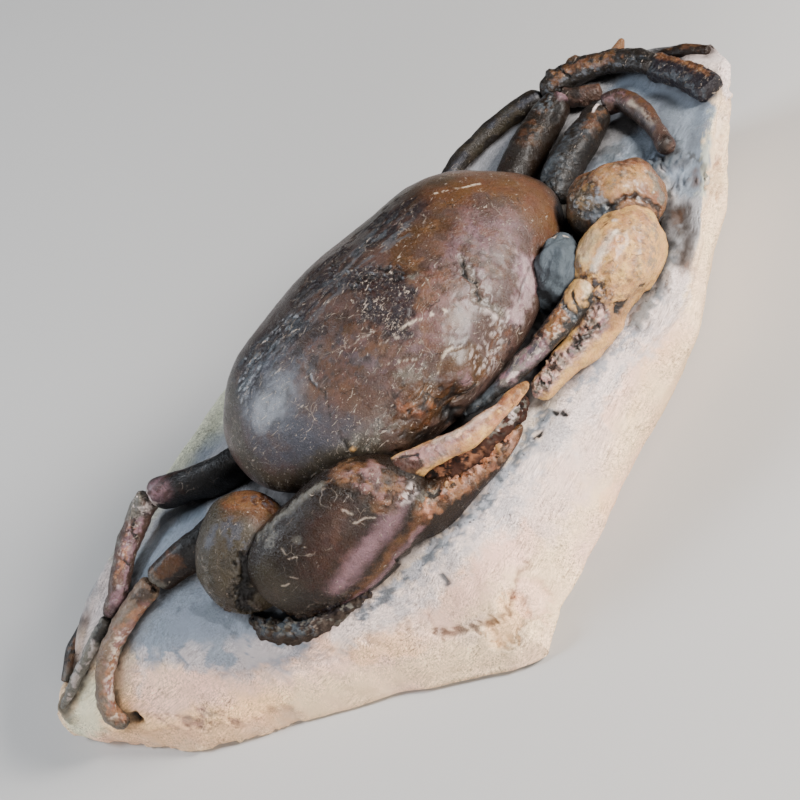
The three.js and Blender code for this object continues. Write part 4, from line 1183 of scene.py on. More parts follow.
CLAW_LOOKS = {       # base colour, crust, relief layers and marks
    "right_claw_wrist": ("olive", 0.3, [(14, 0.5, 2), (3, 0.12, 3)], [
        Mark([[-64, -26, 57], [-60, -23, 55], [-56, -23, 50], [-60, -29, 54]], 7.5, "rust", 0.95, soft=0.8,
             ragged=0.4),
        patches([[-63, -26, 57], [-58, -26, 53]], 6, "tan", 0.5, -0.3, 4, soft=0.9),
        Mark([[-58, -26, 52], [-56, -23, 48]], 3.6, "chestnut", 0.8, grit=0.35, rise=-0.2, ragged=0.7),
        patches([[-57, -25, 51], [-60, -25, 55]], 3, "film", 0.7, 0.1, 1.4, crust=0.5),
        # painted bluish highlights on the wrist's left side, in these two patches
        patches([[-71, -28, 58], [-77, -30, 55]], 2.4, "film", 0.8, -0.3, 2, soft=0.9, crust=0.5),
        patches([[-68, -31, 57], [-70, -34, 54], [-71, -36, 52]], 4.2, "film", 0.75, -0.2, 1.8, crust=0.5),
        patches([[-80, -30, 50], [-82, -31, 42]], 5, "ash", 0.4, 0.1, 2, crust=0.6),
        patches([[-74, -33, 50], [-80, -34, 42]], 9, "bark", 0.5, 0, 5),
        # painted shade in the crevice between wrist and palm
        Mark([[-71, -37, 49], [-75, -38, 45], [-79, -38, 41], [-80, -36, 34]], 3.2, "soot", 0.9, rise=-1.6,
             hollow=0.7, ragged=0.6, grit=0.4),
        Mark([[-79, -39, 40], [-77, -39, 36]], 2.2, "crumb", 0.9, rise=1, grit=0.5, ragged=0.6),
        Mark([[-84, -35, 40]], 2.4, "crumb", 0.9, rise=0.6, grit=0.5, ragged=0.6),
    ]),
    "right_claw_palm": ("umber", 0.1, [(16, 0.4, 2), (3, 0.09, 3)], [
        Mark([[-46, -55, 53], [-52, -55, 48], [-56, -55, 44]], 11, "chestnut", 0.8, soft=1),
        patches([[-44, -55, 53], [-52, -56, 46]], 7, "rust", 0.2, -0.3, 4, soft=1),
        Mark([[-69, -46, 48], [-70, -47, 40]], 8, "olive", 0.5, soft=0.9),
        patches([[-68, -44, 52], [-66, -50, 44]], 7, "olive", 0.35, -0.3, soft=0.9),
        # painted reflection: a pale band along the top ridge
        Mark([[-64, -38, 54], [-58, -41, 56], [-50, -44, 58], [-43, -46, 59]], 2.4, "ash", 0.8, rise=0.5,
             crust=0.2, soft=1),
        patches([[-69, -37, 51], [-66, -39, 53], [-62, -44, 55]], 2.2, "ash", 0.7, -0.2, 1.6, ragged=0.8,
                crust=0.6),
        patches([[-62, -40, 56], [-54, -43, 58]], 1.6, "soot", 0.6, 0.35, 1),
        Mark([[-56, -50, 54]], 1.6, "ash", 0.5, ragged=0.6, rise=-0.2),
        # painted reflection: the blush band low on the palm
        Mark([[-30, -58, 48], [-38, -58, 44], [-46, -57, 42], [-52, -56, 40], [-56, -55, 38]], 5.2, "blush",
             0.6, soft=1, crust=0.3, ragged=0.35),
        Mark([[-28, -59, 39], [-37, -57, 37], [-46, -56, 34], [-55, -54, 31]], 3.6, "rust", 0.8, soft=1,
             ragged=0.35),
        Mark([[-30, -58, 37], [-44, -55, 32], [-58, -52, 29]], 2.2, "blush", 0.5, soft=0.9, crust=0.5),
        # folds at the joint of the moving finger
        Mark([[-36, -48, 58], [-32, -51, 56], [-31, -56, 51]], 6.2, "tan", 0.7, rise=0.25, soft=0.7,
             ragged=0.6, crust=0.6),
        patches([[-33, -50, 56], [-30, -54, 53]], 6.2, "blush", 0.5, 0, 1.8, rise=0.45, crust=0.6),
        patches([[-36, -49, 57], [-31, -56, 50]], 6, "umber", 0.75, 0, 1.5, rise=-0.5),
        Mark([[-35, -56, 51], [-34, -57, 49]], 1.7, "amber", 0.8, rise=-0.3, soft=0.6),
        Mark([[-38, -51, 57], [-37.5, -53, 55]], 0.6, "soot", 0.7, rise=-0.3, soft=0.9),
        patches([[-28, -57, 47], [-25, -56, 47]], 2.2, "frost", 0.6, -0.1, 1.2, grit=0.4),
        patches([[-27, -57, 46], [-23, -57, 44]], 2.6, "plum", 0.7, 0.1, 1.4, grit=0.4),
        # fixed finger and its teeth
        Mark([[-26, -58, 41], [-14, -56, 38], [0, -54, 37], [8, -52, 36]], 4.6, "rust", 0.8, soft=0.7),
        patches([[-24, -58, 40], [-12, -56, 38], [4, -54, 37]], 3.6, "salmon", 0.9, -0.4, 2.4),
        patches([[-24, -58, 40], [-12, -56, 38], [4, -54, 37]], 3, "pink", 0.35, 0, 1.6),
        patches([[-25, -57, 43], [-20, -56, 41]], 3, "ash", 0.7, 0.05, 1.3, grit=0.5, crust=0.6),
        *bumps(([-20, -57, 40], 1.8, "orange", 0.9, 0.9, 0.6),
               ([-16.5, -56.5, 40], 2, "honey", 0.7, 1, 0.7),
               ([-13, -56, 39], 1.8, "orange", 0.9, 0.8, 0.6),
               ([-9, -55.5, 38], 1.6, "amber", 0.9, 0.7, 0.6),
               ([-5, -55, 38], 1.7, "orange", 0.85, 0.7, 0.6),
               ([0, -54.5, 37.5], 1.6, "honey", 0.6, 0.6, 0.6)),
        # painted shade between the teeth
        patches([[-22, -57, 42], [-10, -55, 39], [2, -54, 38]], 2.6, "soot", 0.85, 0.2, 1.3, rise=-0.5,
                hollow=0.5),
        Mark([[-24, -58, 39], [-8, -56, 36], [6, -53, 35]], 2.6, "chestnut", 0.6, soft=1),
        # pale crumbs and scratches
        *scratches(([[-61, -48, 53], [-61, -49, 52]], 0.35, "fleck", 0.5),
                   ([[-61, -50, 51], [-59.5, -51.5, 51]], 0.35, "ivory", 0.4),
                   ([[-56, -52, 52]], 0.4, "fleck", 0.5),
                   ([[-64, -51, 47], [-63, -52, 46]], 0.35, "fleck", 0.5),
                   ([[-67.5, -49.5, 45], [-66, -51, 45]], 0.35, "ivory", 0.4),
                   ([[-42, -54, 55], [-41, -55, 53]], 0.35, "fleck", 0.5),
                   ([[-42, -56, 51], [-39, -56, 50], [-37, -57, 49]], 0.35, "fleck", 0.5)),
        # crumbs below, and painted shade where the palm meets the stone
        patches([[-72, -44, 32], [-66, -50, 33], [-60, -53, 34], [-55, -54, 34]], 2.6, "crumb", 0.9, -0.25,
                1.8, rise=0.3, grit=0.5, ragged=0.8),
        patches([[-68, -48, 31], [-60, -52, 31], [-52, -55, 33]], 2.4, "plum", 0.8, 0, 1.4, grit=0.5,
                crust=0.5),
        Mark([[-72, -40, 29], [-62, -50, 27], [-50, -54, 26], [-40, -56, 28]], 2.4, "soot", 0.8, hollow=0.6,
             ragged=0.9),
    ]),
    "right_claw_finger": ("honey", 0.15, [(6, 0.35, 3), (1.8, 0.14, 3)], [
        patches([[-14, -53, 51], [-4, -54, 50], [5, -54, 48]], 5, "pink", 0.55, -0.2, 2.4, soft=0.8),
        patches([[-18, -53, 51], [-4, -54, 50], [12, -54, 48]], 5, "salmon", 0.8, -0.25, 2.2),
        # painted glints: pale spots along the top
        *bumps(([-15, -53, 51.5], 1.3, "ivory", 0.9, 0.3, 0.4),
               ([-9, -54, 51], 1.5, "ivory", 0.9, 0.3, 0.4),
               ([-3, -54.5, 50.3], 1.2, "ivory", 0.9, 0.25, 0.4),
               ([3, -54.5, 49.5], 1, "ivory", 0.9, 0.2, 0.4)),
        Mark([[-24, -50, 52], [-17, -53, 51], [-11, -55, 50]], 5.5, "blush", 0.75, soft=0.8, crust=0.5,
             grit=0.2),
        *washes([[-12, -53, 51], [0, -54, 50], [8, -54, 48]], 4, ("blush", 0.5, 0, 1.4),
                ("rust", 0.6, 0.2, 1.1)),
        Mark([[-24, -50, 52], [-20, -53, 50], [-24, -54, 50]], 2.3, "chestnut", 0.9, soft=0.4, ragged=0.4),
        crack([[-22, -49, 53], [-18, -52, 51.5]], 0.6, 0.8, 0.4, 0.5),
        # painted highlight along the top
        Mark([[-12, -52, 51.5], [-4, -54, 50.5], [4, -54, 49.5]], 2.2, "ivory", 0.45, soft=1),
        patches([[-14, -51, 52], [-2, -52, 50.5], [6, -53, 49]], 1.6, "orange", 0.5, -0.2, 2, soft=0.9),
        patches([[-10, -56, 49], [-2, -57, 47], [6, -56, 46]], 2.8, "salmon", 0.75, -0.3, 2.5, soft=0.9),
        patches([[6, -55, 48], [10, -54, 48], [15, -52, 46]], 3.6, "orange", 0.75, -0.35, 2, soft=0.8),
        patches([[11, -54, 47], [16, -52, 46]], 3, "rust", 0.6, 0, 2),
        patches([[-18, -55, 49], [-4, -58, 46]], 2.4, "ash", 0.5, 0.1, 1.8, crust=0.5),
    ]),
    "left_claw_wrist": ("tan", 0.2, [(9, 0.9, 3), (2, 0.2, 3)], [
        Mark([[64, -13, 57], [72, -17, 58], [79, -22, 55]], 4.5, "rust", 0.85, ragged=0.6),
        patches([[62, -14, 56], [68, -14, 57]], 3.4, "bark", 0.7, -0.2, 3, rise=-0.3),
        Mark([[70, -18, 58], [76, -22, 57]], 7, "salmon", 0.3, soft=1),
        Mark([[67, -25, 58], [72, -26, 57], [77, -27, 53]], 4.6, "honey", 0.35, ragged=0.6, soft=0.6),
        Mark([[58, -17, 55], [56, -20, 50], [60, -21, 57], [62, -26, 53]], 7.5, "olive", 0.95, ragged=0.5,
             crust=0.4, grit=0.15),
        patches([[58, -20, 54], [57, -24, 50]], 5, "bark", 0.8, 0, 2.4),
        patches([[64, -23, 58], [63, -26, 56], [60, -25, 53]], 2.6, "slate", 0.5, -0.1, 1, crust=0.4),
        # painted shade along the crease between wrist and palm, in this and the next mark
        Mark([[58, -24, 55], [61, -26, 55], [64, -28, 55]], 1.6, "deep_slate", 0.9, rise=-0.6, hollow=0.3,
             ragged=0.7, grit=0.3),
        Mark([[64, -28, 55], [68, -29, 55], [71, -30, 54], [73, -31, 50], [74, -31, 45]], 1.2, "crumb",
             0.85, rise=-0.6, hollow=0.5, ragged=0.5, grit=0.2),
        Mark([[68, -29, 56], [71, -30, 54]], 0.8, "chestnut", 0.9, rise=-0.3, ragged=0.6),
        patches([[66, -24, 58], [72, -25, 58]], 2.4, "ash", 0.7, 0.05, 1.5),
        patches([[74, -21, 58], [78, -25, 55]], 2.2, "umber", 0.7, 0.1, 1.4, ragged=0.8),
        Mark([[79, -26, 52], [77, -30, 47]], 2.4, "ash", 0.75, grit=0.3, ragged=0.8, crust=0.5),
        *washes([[62, -18, 57], [76, -23, 57]], 9, ("honey", 0.2, 0, 3), ("umber", 0.5, 0.25, 1.1),
                ("ivory", 0.15, 0.35, 0.9)),
    ]),
    "left_claw_palm": ("honey", 0.15, [(9, 0.9, 3), (2, 0.16, 3)], [
        Mark([[54, -35, 56], [50, -37, 55]], 4.2, "green", 0.35, soft=0.9),
        patches([[54, -34, 54], [52, -35, 50]], 4, "tan", 0.5, -0.2, 3, soft=0.9),
        patches([[62, -31, 56], [61, -33, 57], [59, -36, 57]], 1.9, "rust", 0.85, -0.1, 1.6, grit=0.3),
        patches([[64, -34, 57], [67, -34, 55]], 2.4, "salmon", 0.7, 0.1, 1.5),
        patches([[69, -35, 52], [71, -36, 49]], 2.6, "salmon", 0.6, 0, 1.8),
        patches([[47, -37, 54], [47, -40, 53], [49, -43, 51]], 3.4, "rust", 0.8, -0.15, 1.8, grit=0.3),
        # painted highlight: a pale streak along the top
        Mark([[49, -42, 53.5], [54, -41, 55.5], [60, -39, 56.5]], 2, "ivory", 0.95, soft=1, rise=0.25),
        Mark([[62, -36, 56.5]], 1.2, "frost", 0.9, rise=0.3, ragged=0.6),
        Mark([[59, -41, 55]], 1.6, "salmon", 0.7, rise=0.25, soft=0.5),
        Mark([[59, -41, 55]], 0.8, "honey", 0.9, rise=-0.2),
        patches([[71, -35, 49], [67, -40, 46], [62, -43, 43]], 4, "ash", 0.6, 0, 1.2, grit=0.2),
        patches([[66, -38, 52], [60, -44, 48], [54, -47, 44]], 8, "deep_slate", 0.45, 0.32, 1),
        *washes([[66, -36, 53], [58, -42, 52], [50, -45, 47]], 9, ("tan", 0.45, -0.2, 4),
                ("salmon", 0.3, 0.15, 1), ("crumb", 0.5, 0.42, 0.9)),
        Mark([[56, -45, 40], [50, -47, 40], [44, -48, 40]], 4.5, "tan", 0.7, soft=0.7, ragged=0.6),
        patches([[46, -42, 50], [46, -45, 48], [45, -46, 45]], 3.6, "plum", 0.85, -0.25, 2.2, rise=-0.5,
                grit=0.5),
        patches([[46, -43, 50], [45, -46, 47]], 3.4, "film", 0.8, 0.1, 1.2),
        crack([[51, -45, 42], [49, -46, 41.5], [47, -46, 41]], 0.9, 0.9, 0.4, 0.6, 0.8),
        Mark([[57, -44.5, 40], [56, -45, 41]], 0.8, "soot", 0.8, rise=-0.3, ragged=0.8),
        Mark([[48, -46, 43], [47, -47, 40]], 0.7, "soot", 0.7, rise=-0.3, ragged=0.8),
        Mark([[42, -47, 43], [32, -47, 41], [22, -47, 39], [15, -47, 38]], 4.4, "blush", 0.85, grit=0.4,
             ragged=0.5, crust=0.6),
        *washes([[42, -47, 43], [32, -47, 41], [22, -47, 39], [15, -47, 38]], 4.2, ("pink", 0.45, 0, 1.6),
                ("rust", 0.6, 0.15, 1.4)),
        *bumps(([40, -47, 43], 1.7, "orange", 0.7, 0.6, 0.7), ([35, -47, 42], 2, "orange", 0.55, 0.8, 0.7),
               ([30, -47.5, 41], 1.8, "blush", 0.7, 0.7, 0.7),
               ([25, -47.5, 40], 1.7, "orange", 0.5, 0.7, 0.7)),
        patches([[42, -47, 43], [30, -47, 41], [18, -47, 39]], 4, "ash", 0.75, 0.15, 1.5, grit=0.4),
        # painted shade between the teeth
        patches([[42, -47, 43], [30, -47, 41], [18, -47, 39]], 4, "soot", 0.8, 0.3, 1.4, rise=-0.5,
                hollow=0.4),
    ]),
    "left_claw_finger": ("bark", 0.3, [(6, 0.5, 3), (1.8, 0.2, 3)], [
        Mark([[48, -39, 51], [42, -42, 51], [38, -42, 50]], 4.2, "honey", 0.85, soft=0.4, ragged=0.5),
        Mark([[46, -40, 51], [44, -43, 50]], 2.2, "green", 0.4, soft=0.9),
        Mark([[35, -43, 51], [31, -45, 50], [28, -45, 49]], 3.6, "tan", 0.9, soft=0.4, ragged=0.5,
             grit=0.3),
        patches([[34, -44, 51], [30, -45, 50]], 3, "orange", 0.6, 0, 1.5),
        patches([[34, -44, 51], [29, -46, 49]], 3, "ivory", 0.5, 0.2, 1.2),
        crack([[41, -41, 52], [40, -43, 51], [39, -46, 48]], 0.7, 0.9, 0.5, 0.6, 0.6),
        Mark([[37, -46, 48], [37, -41, 51]], 1.2, "deep_slate", 0.85, rise=-0.5, hollow=0.4, grit=0.3,
             ragged=0.6),
        crack([[26.5, -47, 48], [27, -42, 50]], 0.8, 0.8, 0.4, 0.5, 0.6),
        Mark([[26, -46, 49], [12, -46, 48]], 3.6, "blush", 0.8, soft=0.9, crust=0.6),
        patches([[26, -46, 49], [12, -46, 48]], 3.2, "ash", 0.8, 0, 1.4, crust=0.6),
        patches([[24, -47, 48.5], [12, -47, 47]], 1, "frost", 0.5, -0.1, 1.4),
        patches([[24, -46, 50], [12, -45, 49], [4, -45, 47.5]], 1.4, "film", 0.75, -0.2, 2),
        patches([[22, -47, 47], [12, -47, 46]], 1.6, "blush", 0.6, 0, 1.8),
        Mark([[8, -45, 48], [-1, -45, 46]], 3, "deep_slate", 0.6, ragged=0.6),
        patches([[4, -45, 47], [-2, -44, 46]], 2.4, "soot", 0.6, 0, 1.8, ragged=0.6),
    ]),
}
THIGH = dict(sides=90, steps=130, squareness=2.2, blunt=0.12)
SHIN = dict(sides=90, steps=180, blunt=0.08)
SLIVER = dict(sides=60, steps=90)
LEG_FORMS = {
    "right_rear_leg_thigh": ([[-50, 0, 45, 4, 7], [-61, 2, 46, 4, 7], [-72, 8, 47, 3.8, 6],
        [-84, 15, 48, 3.6, 4.6]], THIGH),
    "right_rear_leg_shin": ([[-84, 15, 48, 3.8, 4], [-90, 16, 45, 3.4, 3.6], [-98, 13, 41.5, 3.2, 3.4],
        [-107, 5, 38, 3, 3], [-115, 2, 34, 2, 2.2]], SHIN),
    "right_rear_leg_tip": ([[-115, 2, 34, 2.2, 2.2], [-121, 4, 30, 2, 2], [-129, 5, 25.5, 1.8, 1.8],
        [-138, 6, 19.5, 1.5, 1.6], [-144, 8, 15, 1, 1]], SHIN),
    "right_front_leg_thigh": ([[-70, -11, 43, 4, 6], [-79, -12, 43, 4, 6], [-88, -9, 42, 4, 5.5],
        [-97, -7, 40, 3.6, 4.4]], THIGH),
    "right_front_leg_shin": ([[-97, -7, 40, 3.7, 3.8], [-104, -5, 37.5, 3.3, 3.2],
        [-113, -4, 33.5, 3.1, 2.9], [-121, -4, 29, 3.1, 2.9], [-128, -6, 23, 3.1, 2.9],
        [-132, -8, 16, 3, 2.9], [-130, -11, 11, 2.5, 2.5]], SHIN),
    "right_outer_leg_tip": ([[-122, 17, 27, 1.6, 2.6], [-130, 15, 23, 1.8, 3], [-138, 11, 18.5, 1.4, 2.4]],
        dict(sides=60, steps=90, squareness=4, blunt=0.04)),
    "left_rear_leg_thigh": ([[28, 36, 44, 2.8, 3], [43, 46, 45, 3, 3.2], [60, 48, 45.5, 3.2, 3.4],
        [77, 45, 46, 3.4, 3.6]], THIGH),
    "left_rear_leg_shin": ([[77, 45, 46.5, 3.6, 4], [86, 43, 46.5, 3.8, 3.8], [95, 38.5, 46, 3.9, 3.6],
        [102, 31, 45, 3.8, 3.4], [105, 22, 44.5, 3.4, 3]], SHIN),
    "left_rear_leg_tip": ([[105, 24, 43.5, 3.6, 3], [107.5, 14, 43.5, 3.8, 3], [109.5, 5, 43.2, 4.3, 2.8],
        [109.8, -1, 42.6, 4.2, 2.4]], dict(sides=90, steps=180, squareness=3, blunt=0.05)),
    "left_middle_leg_thigh": ([[50, 20, 45, 5.3, 6], [58, 26, 46, 5.3, 6], [69, 32, 46.5, 4.9, 5.4],
        [80, 37, 47, 4, 4.4]], THIGH),
    "left_middle_leg_shin": ([[80, 37, 46.5, 3, 3.2], [84, 34, 45, 2.8, 3], [90, 31, 43.5, 2.4, 2.4]],
        SLIVER),
    "left_front_leg_thigh": ([[56, 5, 43.5, 5.2, 5.5], [64, 10, 45.6, 5.3, 5.5], [74, 14.5, 46.3, 4.9, 5],
        [85, 21, 46, 3.7, 4]], THIGH),
    "left_front_leg_shin": ([[86, 22, 45.5, 3.3, 3.4], [91, 19, 45, 3.2, 3.2], [92, 10, 44.5, 3.2, 3.2],
        [91, 0, 43.8, 3, 3], [89, -9, 42.6, 2.4, 2.4]], SHIN),
    "left_outer_leg_spike": ([[97, 42, 41.5, 2.6, 3], [101, 41, 43.5, 2.2, 2.4], [105, 41, 46, 0.7, 0.7]],
        SLIVER),
    "left_outer_leg_strip": ([[109, 30, 40.6, 2, 1.8], [115, 22.5, 41, 2.2, 2], [119.6, 17, 40, 1.6, 1.6]],
        SLIVER),
}

SMOOTH_LEG = [(9, 0.5, 2), (2.4, 0.14, 3)]
RUSTY_LEG = [(6, 0.5, 3), (1.6, 0.2, 3)]
LEG_LOOKS = {        # base colour, crust, relief layers and marks
    # the soot base and the dark spot below are the painted shadow that the back casts on this thigh
    "right_rear_leg_thigh": ("soot", 0.05, SMOOTH_LEG, [
        Mark([[-86, 14, 51], [-79, 9, 52]], 5.5, "blush", 0.6, ragged=0.5, soft=1),
        patches([[-82, 12, 52], [-76, 8, 52]], 6, "chestnut", 0.7, 0, 2.6),
        Mark([[-74, 8, 50]], 4, "soot", 0.8),
        Mark([[-88, 15, 50]], 3.6, "frost", 0.8, ragged=0.6, grit=0.4, crust=0.4)]),
    "right_rear_leg_shin": ("mauve", 0.45, RUSTY_LEG, [
        Mark([[-88, 13, 48], [-98, 9, 43], [-107, 2, 39], [-113, 0, 36]], 2.4, "blush", 0.8, ragged=0.5,
             grit=0.2),
        # painted glints
        patches([[-90, 13, 47], [-99, 9, 44], [-106, 3, 40]], 2.2, "frost", 0.35, 0.15, 1),
        patches([[-88, 17, 47], [-98, 14, 43], [-108, 6, 39]], 2.4, "ash", 0.6, -0.2, 2.4, soft=0.9),
        patches([[-92, 12, 47], [-99, 9, 44], [-106, 3, 41]], 2, "rust", 0.7, 0, 1.4),
        patches([[-92, 13, 47], [-105, 5, 41]], 1.6, "salmon", 0.6, 0.1, 1.2),
        Mark([[-84, 13, 49], [-86, 15.5, 50], [-89, 14, 49]], 4.2, "ash", 0.9, ragged=0.6, grit=0.3,
             crust=0.6),
        patches([[-84, 13, 49], [-86, 15.5, 50], [-88, 14, 49]], 3.4, "frost", 0.8, 0, 1.6),
        patches([[-84, 18, 49], [-95, 18, 43], [-108, 9, 38]], 2.4, "bark", 0.6, 0, 3),
        patches([[-90, 12, 46.5], [-97, 9, 43], [-106, 2, 39]], 3, "soot", 0.85, 0.4, 1.6, rise=-0.5,
                hollow=0.5),
        Mark([[-112, 0, 36], [-116, 2, 34]], 3, "bark", 0.7)]),
    "right_rear_leg_tip": ("ash", 0.1, RUSTY_LEG, [
        Mark([[-115, 1, 35], [-121, 2, 31]], 2.8, "bark", 0.85, soft=0.5),
        patches([[-124, 3, 30], [-140, 6, 19]], 3, "frost", 0.35, -0.1, 2)]),
    "right_front_leg_thigh": ("umber", 0.05, SMOOTH_LEG, [
        # painted shadow that the wrist casts on the thigh
        Mark([[-70, -11, 47], [-82, -14, 46]], 9, "soot", 0.9),
        Mark([[-88, -12, 46], [-94, -10, 44]], 3.4, "rust", 0.7, ragged=0.6),
        Mark([[-97, -9, 42]], 4, "ash", 0.7, grit=0.3, ragged=0.6)]),
    "right_front_leg_shin": ("ash", 0.45, RUSTY_LEG, [
        Mark([[-97, -8, 41], [-110, -3, 36], [-124, -4, 28], [-131, -8, 16]], 9, "tan", 0.55),
        Mark([[-103, -9, 38], [-112, -8, 34], [-120, -8, 29], [-128, -10, 21], [-130, -12, 15]], 2.8,
             "salmon", 0.6, ragged=0.5, grit=0.2),
        patches([[-103, -9, 38], [-112, -8, 34], [-122, -8, 28], [-129, -10, 19]], 2.6, "blush", 0.5, -0.1,
                1.8),
        patches([[-112, -8, 34], [-122, -8, 28], [-129, -10, 19]], 2.2, "tan", 0.6, 0, 1.4),
        # painted glints along the top
        patches([[-112, -8, 34], [-122, -8, 28], [-129, -10, 19]], 2.4, "frost", 0.45, 0.15, 1),
        patches([[-116, -9, 33], [-126, -10, 24], [-130, -12, 17]], 2.6, "ivory", 0.6, 0.25, 1.6),
        patches([[-97, -10, 42], [-104, -7, 40]], 4, "bark", 0.7, -0.2, 3),
        Mark([[-108, -1, 36], [-122, 0, 27], [-133, -5, 15]], 2.6, "bark", 0.5, soft=1, ragged=0.5),
        crack([[-95, -11, 41]], 1.6, 0.8, 0.6, 0.6),
        patches([[-104, -3, 38], [-112, 0, 35], [-124, -1, 27], [-132, -5, 18]], 2.4, "ash", 0.55, -0.2, 3),
        patches([[-130, -13, 14], [-129, -13, 10]], 3.4, "bark", 0.6, -0.1, 2.4, grit=0.4)]),
    "right_outer_leg_tip": ("bark", 0.1, SMOOTH_LEG, [
        patches([[-124, 15, 27], [-138, 10, 20]], 3, "tan", 0.5, 0, 3),
        Mark([[-136, 11, 21]], 4, "ash", 0.6)]),
    "left_rear_leg_thigh": ("bark", 0.05, SMOOTH_LEG, [
        # painted bluish highlight along the top
        Mark([[36, 41, 49], [60, 46, 49.5], [77, 43, 49]], 1.6, "film", 0.6, soft=1),
        patches([[50, 45, 48], [77, 43, 48]], 5, "olive", 0.6, 0, 4)]),
    "left_rear_leg_shin": ("bark", 0.3, RUSTY_LEG, [
        patches([[79, 43, 50], [90, 40, 50], [100, 33, 48]], 3, "rust", 0.75, -0.1, 3, grit=0.3),
        patches([[84, 42, 50], [100, 33, 48]], 2.2, "tan", 0.6, 0.2, 1.8),
        patches([[78, 41, 49], [88, 38, 49], [103, 26, 47]], 2.4, "slate", 0.2, 0.1, 1),
        crack([[85, 38, 50], [86, 46, 50]], 0.7, 0.9, 0.7, 0.7, 0.6),
        crack([[102, 27, 48], [105, 23, 48], [109, 25, 46]], 0.9, 1, 0.9, 0.8),
        *bumps(([90, 43, 49], 2.4, "tan", 0.5, 1, 0.5), ([82, 45, 50], 2.2, "bark", 0.6, 1, 0.5))]),
    "left_rear_leg_tip": ("plum", 0.45, RUSTY_LEG, [
        patches([[104, 20, 45], [107, 8, 45], [107, -2, 44]], 3, "deep_slate", 0.4, 0, 1.2, grit=0.3),
        Mark([[108, 22, 46.5], [111, 12, 46.5], [112, 2, 46]], 2, "rust", 0.9, ragged=0.6, grit=0.3),
        patches([[109, 18, 46.5], [112, 4, 46]], 1.8, "tan", 0.6, 0.2, 1.6)]),
    "left_middle_leg_thigh": ("umber", 0.12, SMOOTH_LEG, [
        patches([[52, 18, 51], [62, 24, 52], [70, 29, 51]], 7, "bark", 0.85, -0.3, 4),
        patches([[64, 26, 52], [72, 29, 52]], 4, "rust", 0.4, -0.1, 2, grit=0.2),
        patches([[74, 33, 52], [80, 36, 51]], 4, "deep_slate", 0.5, 0.05, 1.2, grit=0.3, crust=0.4),
        Mark([[82, 33, 50]], 2.6, "blush", 0.7, rise=0.6, grit=0.3),
        patches([[60, 29, 50], [72, 36, 50]], 3, "ash", 0.5, 0, 3),
        crack([[78, 31, 49], [74, 28, 48]], 2, 0.7, 0.4, 0.4)]),
    "left_middle_leg_shin": ("mauve", 0.2, RUSTY_LEG, [
        Mark([[81, 35, 49], [84, 33, 48]], 3, "bark", 0.85, ragged=0.7),
        patches([[87, 32, 48], [90, 31, 46]], 3, "rust", 0.5, 0, 2)]),
    "left_front_leg_thigh": ("bark", 0.2, SMOOTH_LEG, [
        patches([[54, 4, 49], [60, 6, 51], [64, 8, 51]], 7, "deep_slate", 0.35, 0, 1.4, grit=0.4),
        patches([[58, 6, 51], [74, 12, 52]], 6, "deep_slate", 0.2, 0, 1.6, grit=0.25),
        patches([[62, 9, 51], [76, 14, 52]], 4, "slate", 0.1, 0.1, 1.1),
        patches([[76, 11, 49], [84, 17, 49]], 3, "rust", 0.7, -0.2, 2, ragged=0.5),
        Mark([[82, 17, 50], [86, 20, 50]], 0.5, "frost", 0.9, rise=0.2),
        Mark([[70, 8, 48], [78, 12, 48]], 2, "soot", 0.6, hollow=0.4)]),
    "left_front_leg_shin": ("mauve", 0.35, SMOOTH_LEG, [
        # painted highlight streak along the top
        Mark([[91, 12, 49], [91.5, 5, 48], [90.5, 0, 47]], 1.6, "fleck", 0.7, soft=1, ragged=0.4),
        patches([[87, 22, 49], [92, 15, 49]], 3, "blush", 0.6, -0.1, 2, soft=1),
        # painted bluish highlight
        Mark([[91, 8, 48], [90, -2, 46.5]], 1.8, "film", 0.6, soft=1, ragged=0.5),
        patches([[93, 17, 48], [94.5, 10, 48], [95, 2, 46.5]], 2.4, "rust", 0.7, -0.2, 2, ragged=0.6),
        Mark([[88, 16, 45.5], [88.5, 6, 45], [87, -4, 44]], 2.4, "umber", 0.8, ragged=0.6, crust=0.3),
        Mark([[87, 22, 49], [91, 20, 49]], 3.4, "umber", 0.8, ragged=0.5, grit=0.2),
        Mark([[90, -8, 45], [86, -9, 43]], 2.4, "bark", 0.8)]),
    "left_outer_leg_spike": ("tan", 0.1, SMOOTH_LEG, []),
    "left_outer_leg_strip": ("umber", 0.2, SMOOTH_LEG, [
        patches([[109, 30, 43], [119, 18, 42]], 1.6, "rust", 0.6, -0.1, 2)]),
}


def make_claws(side, sizes, colours):
    """The wrist, palm and moving finger of one claw, dressed."""
    coat = {"right": 0.05, "left": 0.45}[side]
    shell = shell_material(f"{side}_claw_mineral", colours, gloss=0.26, coat=coat, size=170.0, cracks=170.0)
    for k, name in enumerate(n for n in CLAW_FORMS if n.startswith(side)):
        surface = dressed_limb(name, "claw", k, CLAW_FORMS[name], CLAW_LOOKS[name], sizes, colours)
        surface.to_object(name + "_shell", shell, name, f"{side}_claw_shell")


def make_legs(side, sizes, colours):
    """The walking legs of one side, dressed."""
    shell = shell_material(f"{side}_leg_mineral", colours, mottle=0.3, size=220.0, gloss=0.36, coat=0.1,
                           cracks=230.0)
    for k, name in enumerate(n for n in LEG_FORMS if n.startswith(side)):
        surface = dressed_limb(name, "leg", k, LEG_FORMS[name], LEG_LOOKS[name], sizes, colours)
        surface.to_object(name + "_shell", shell, name, "leg_shell")


# ---------- the studio ----------

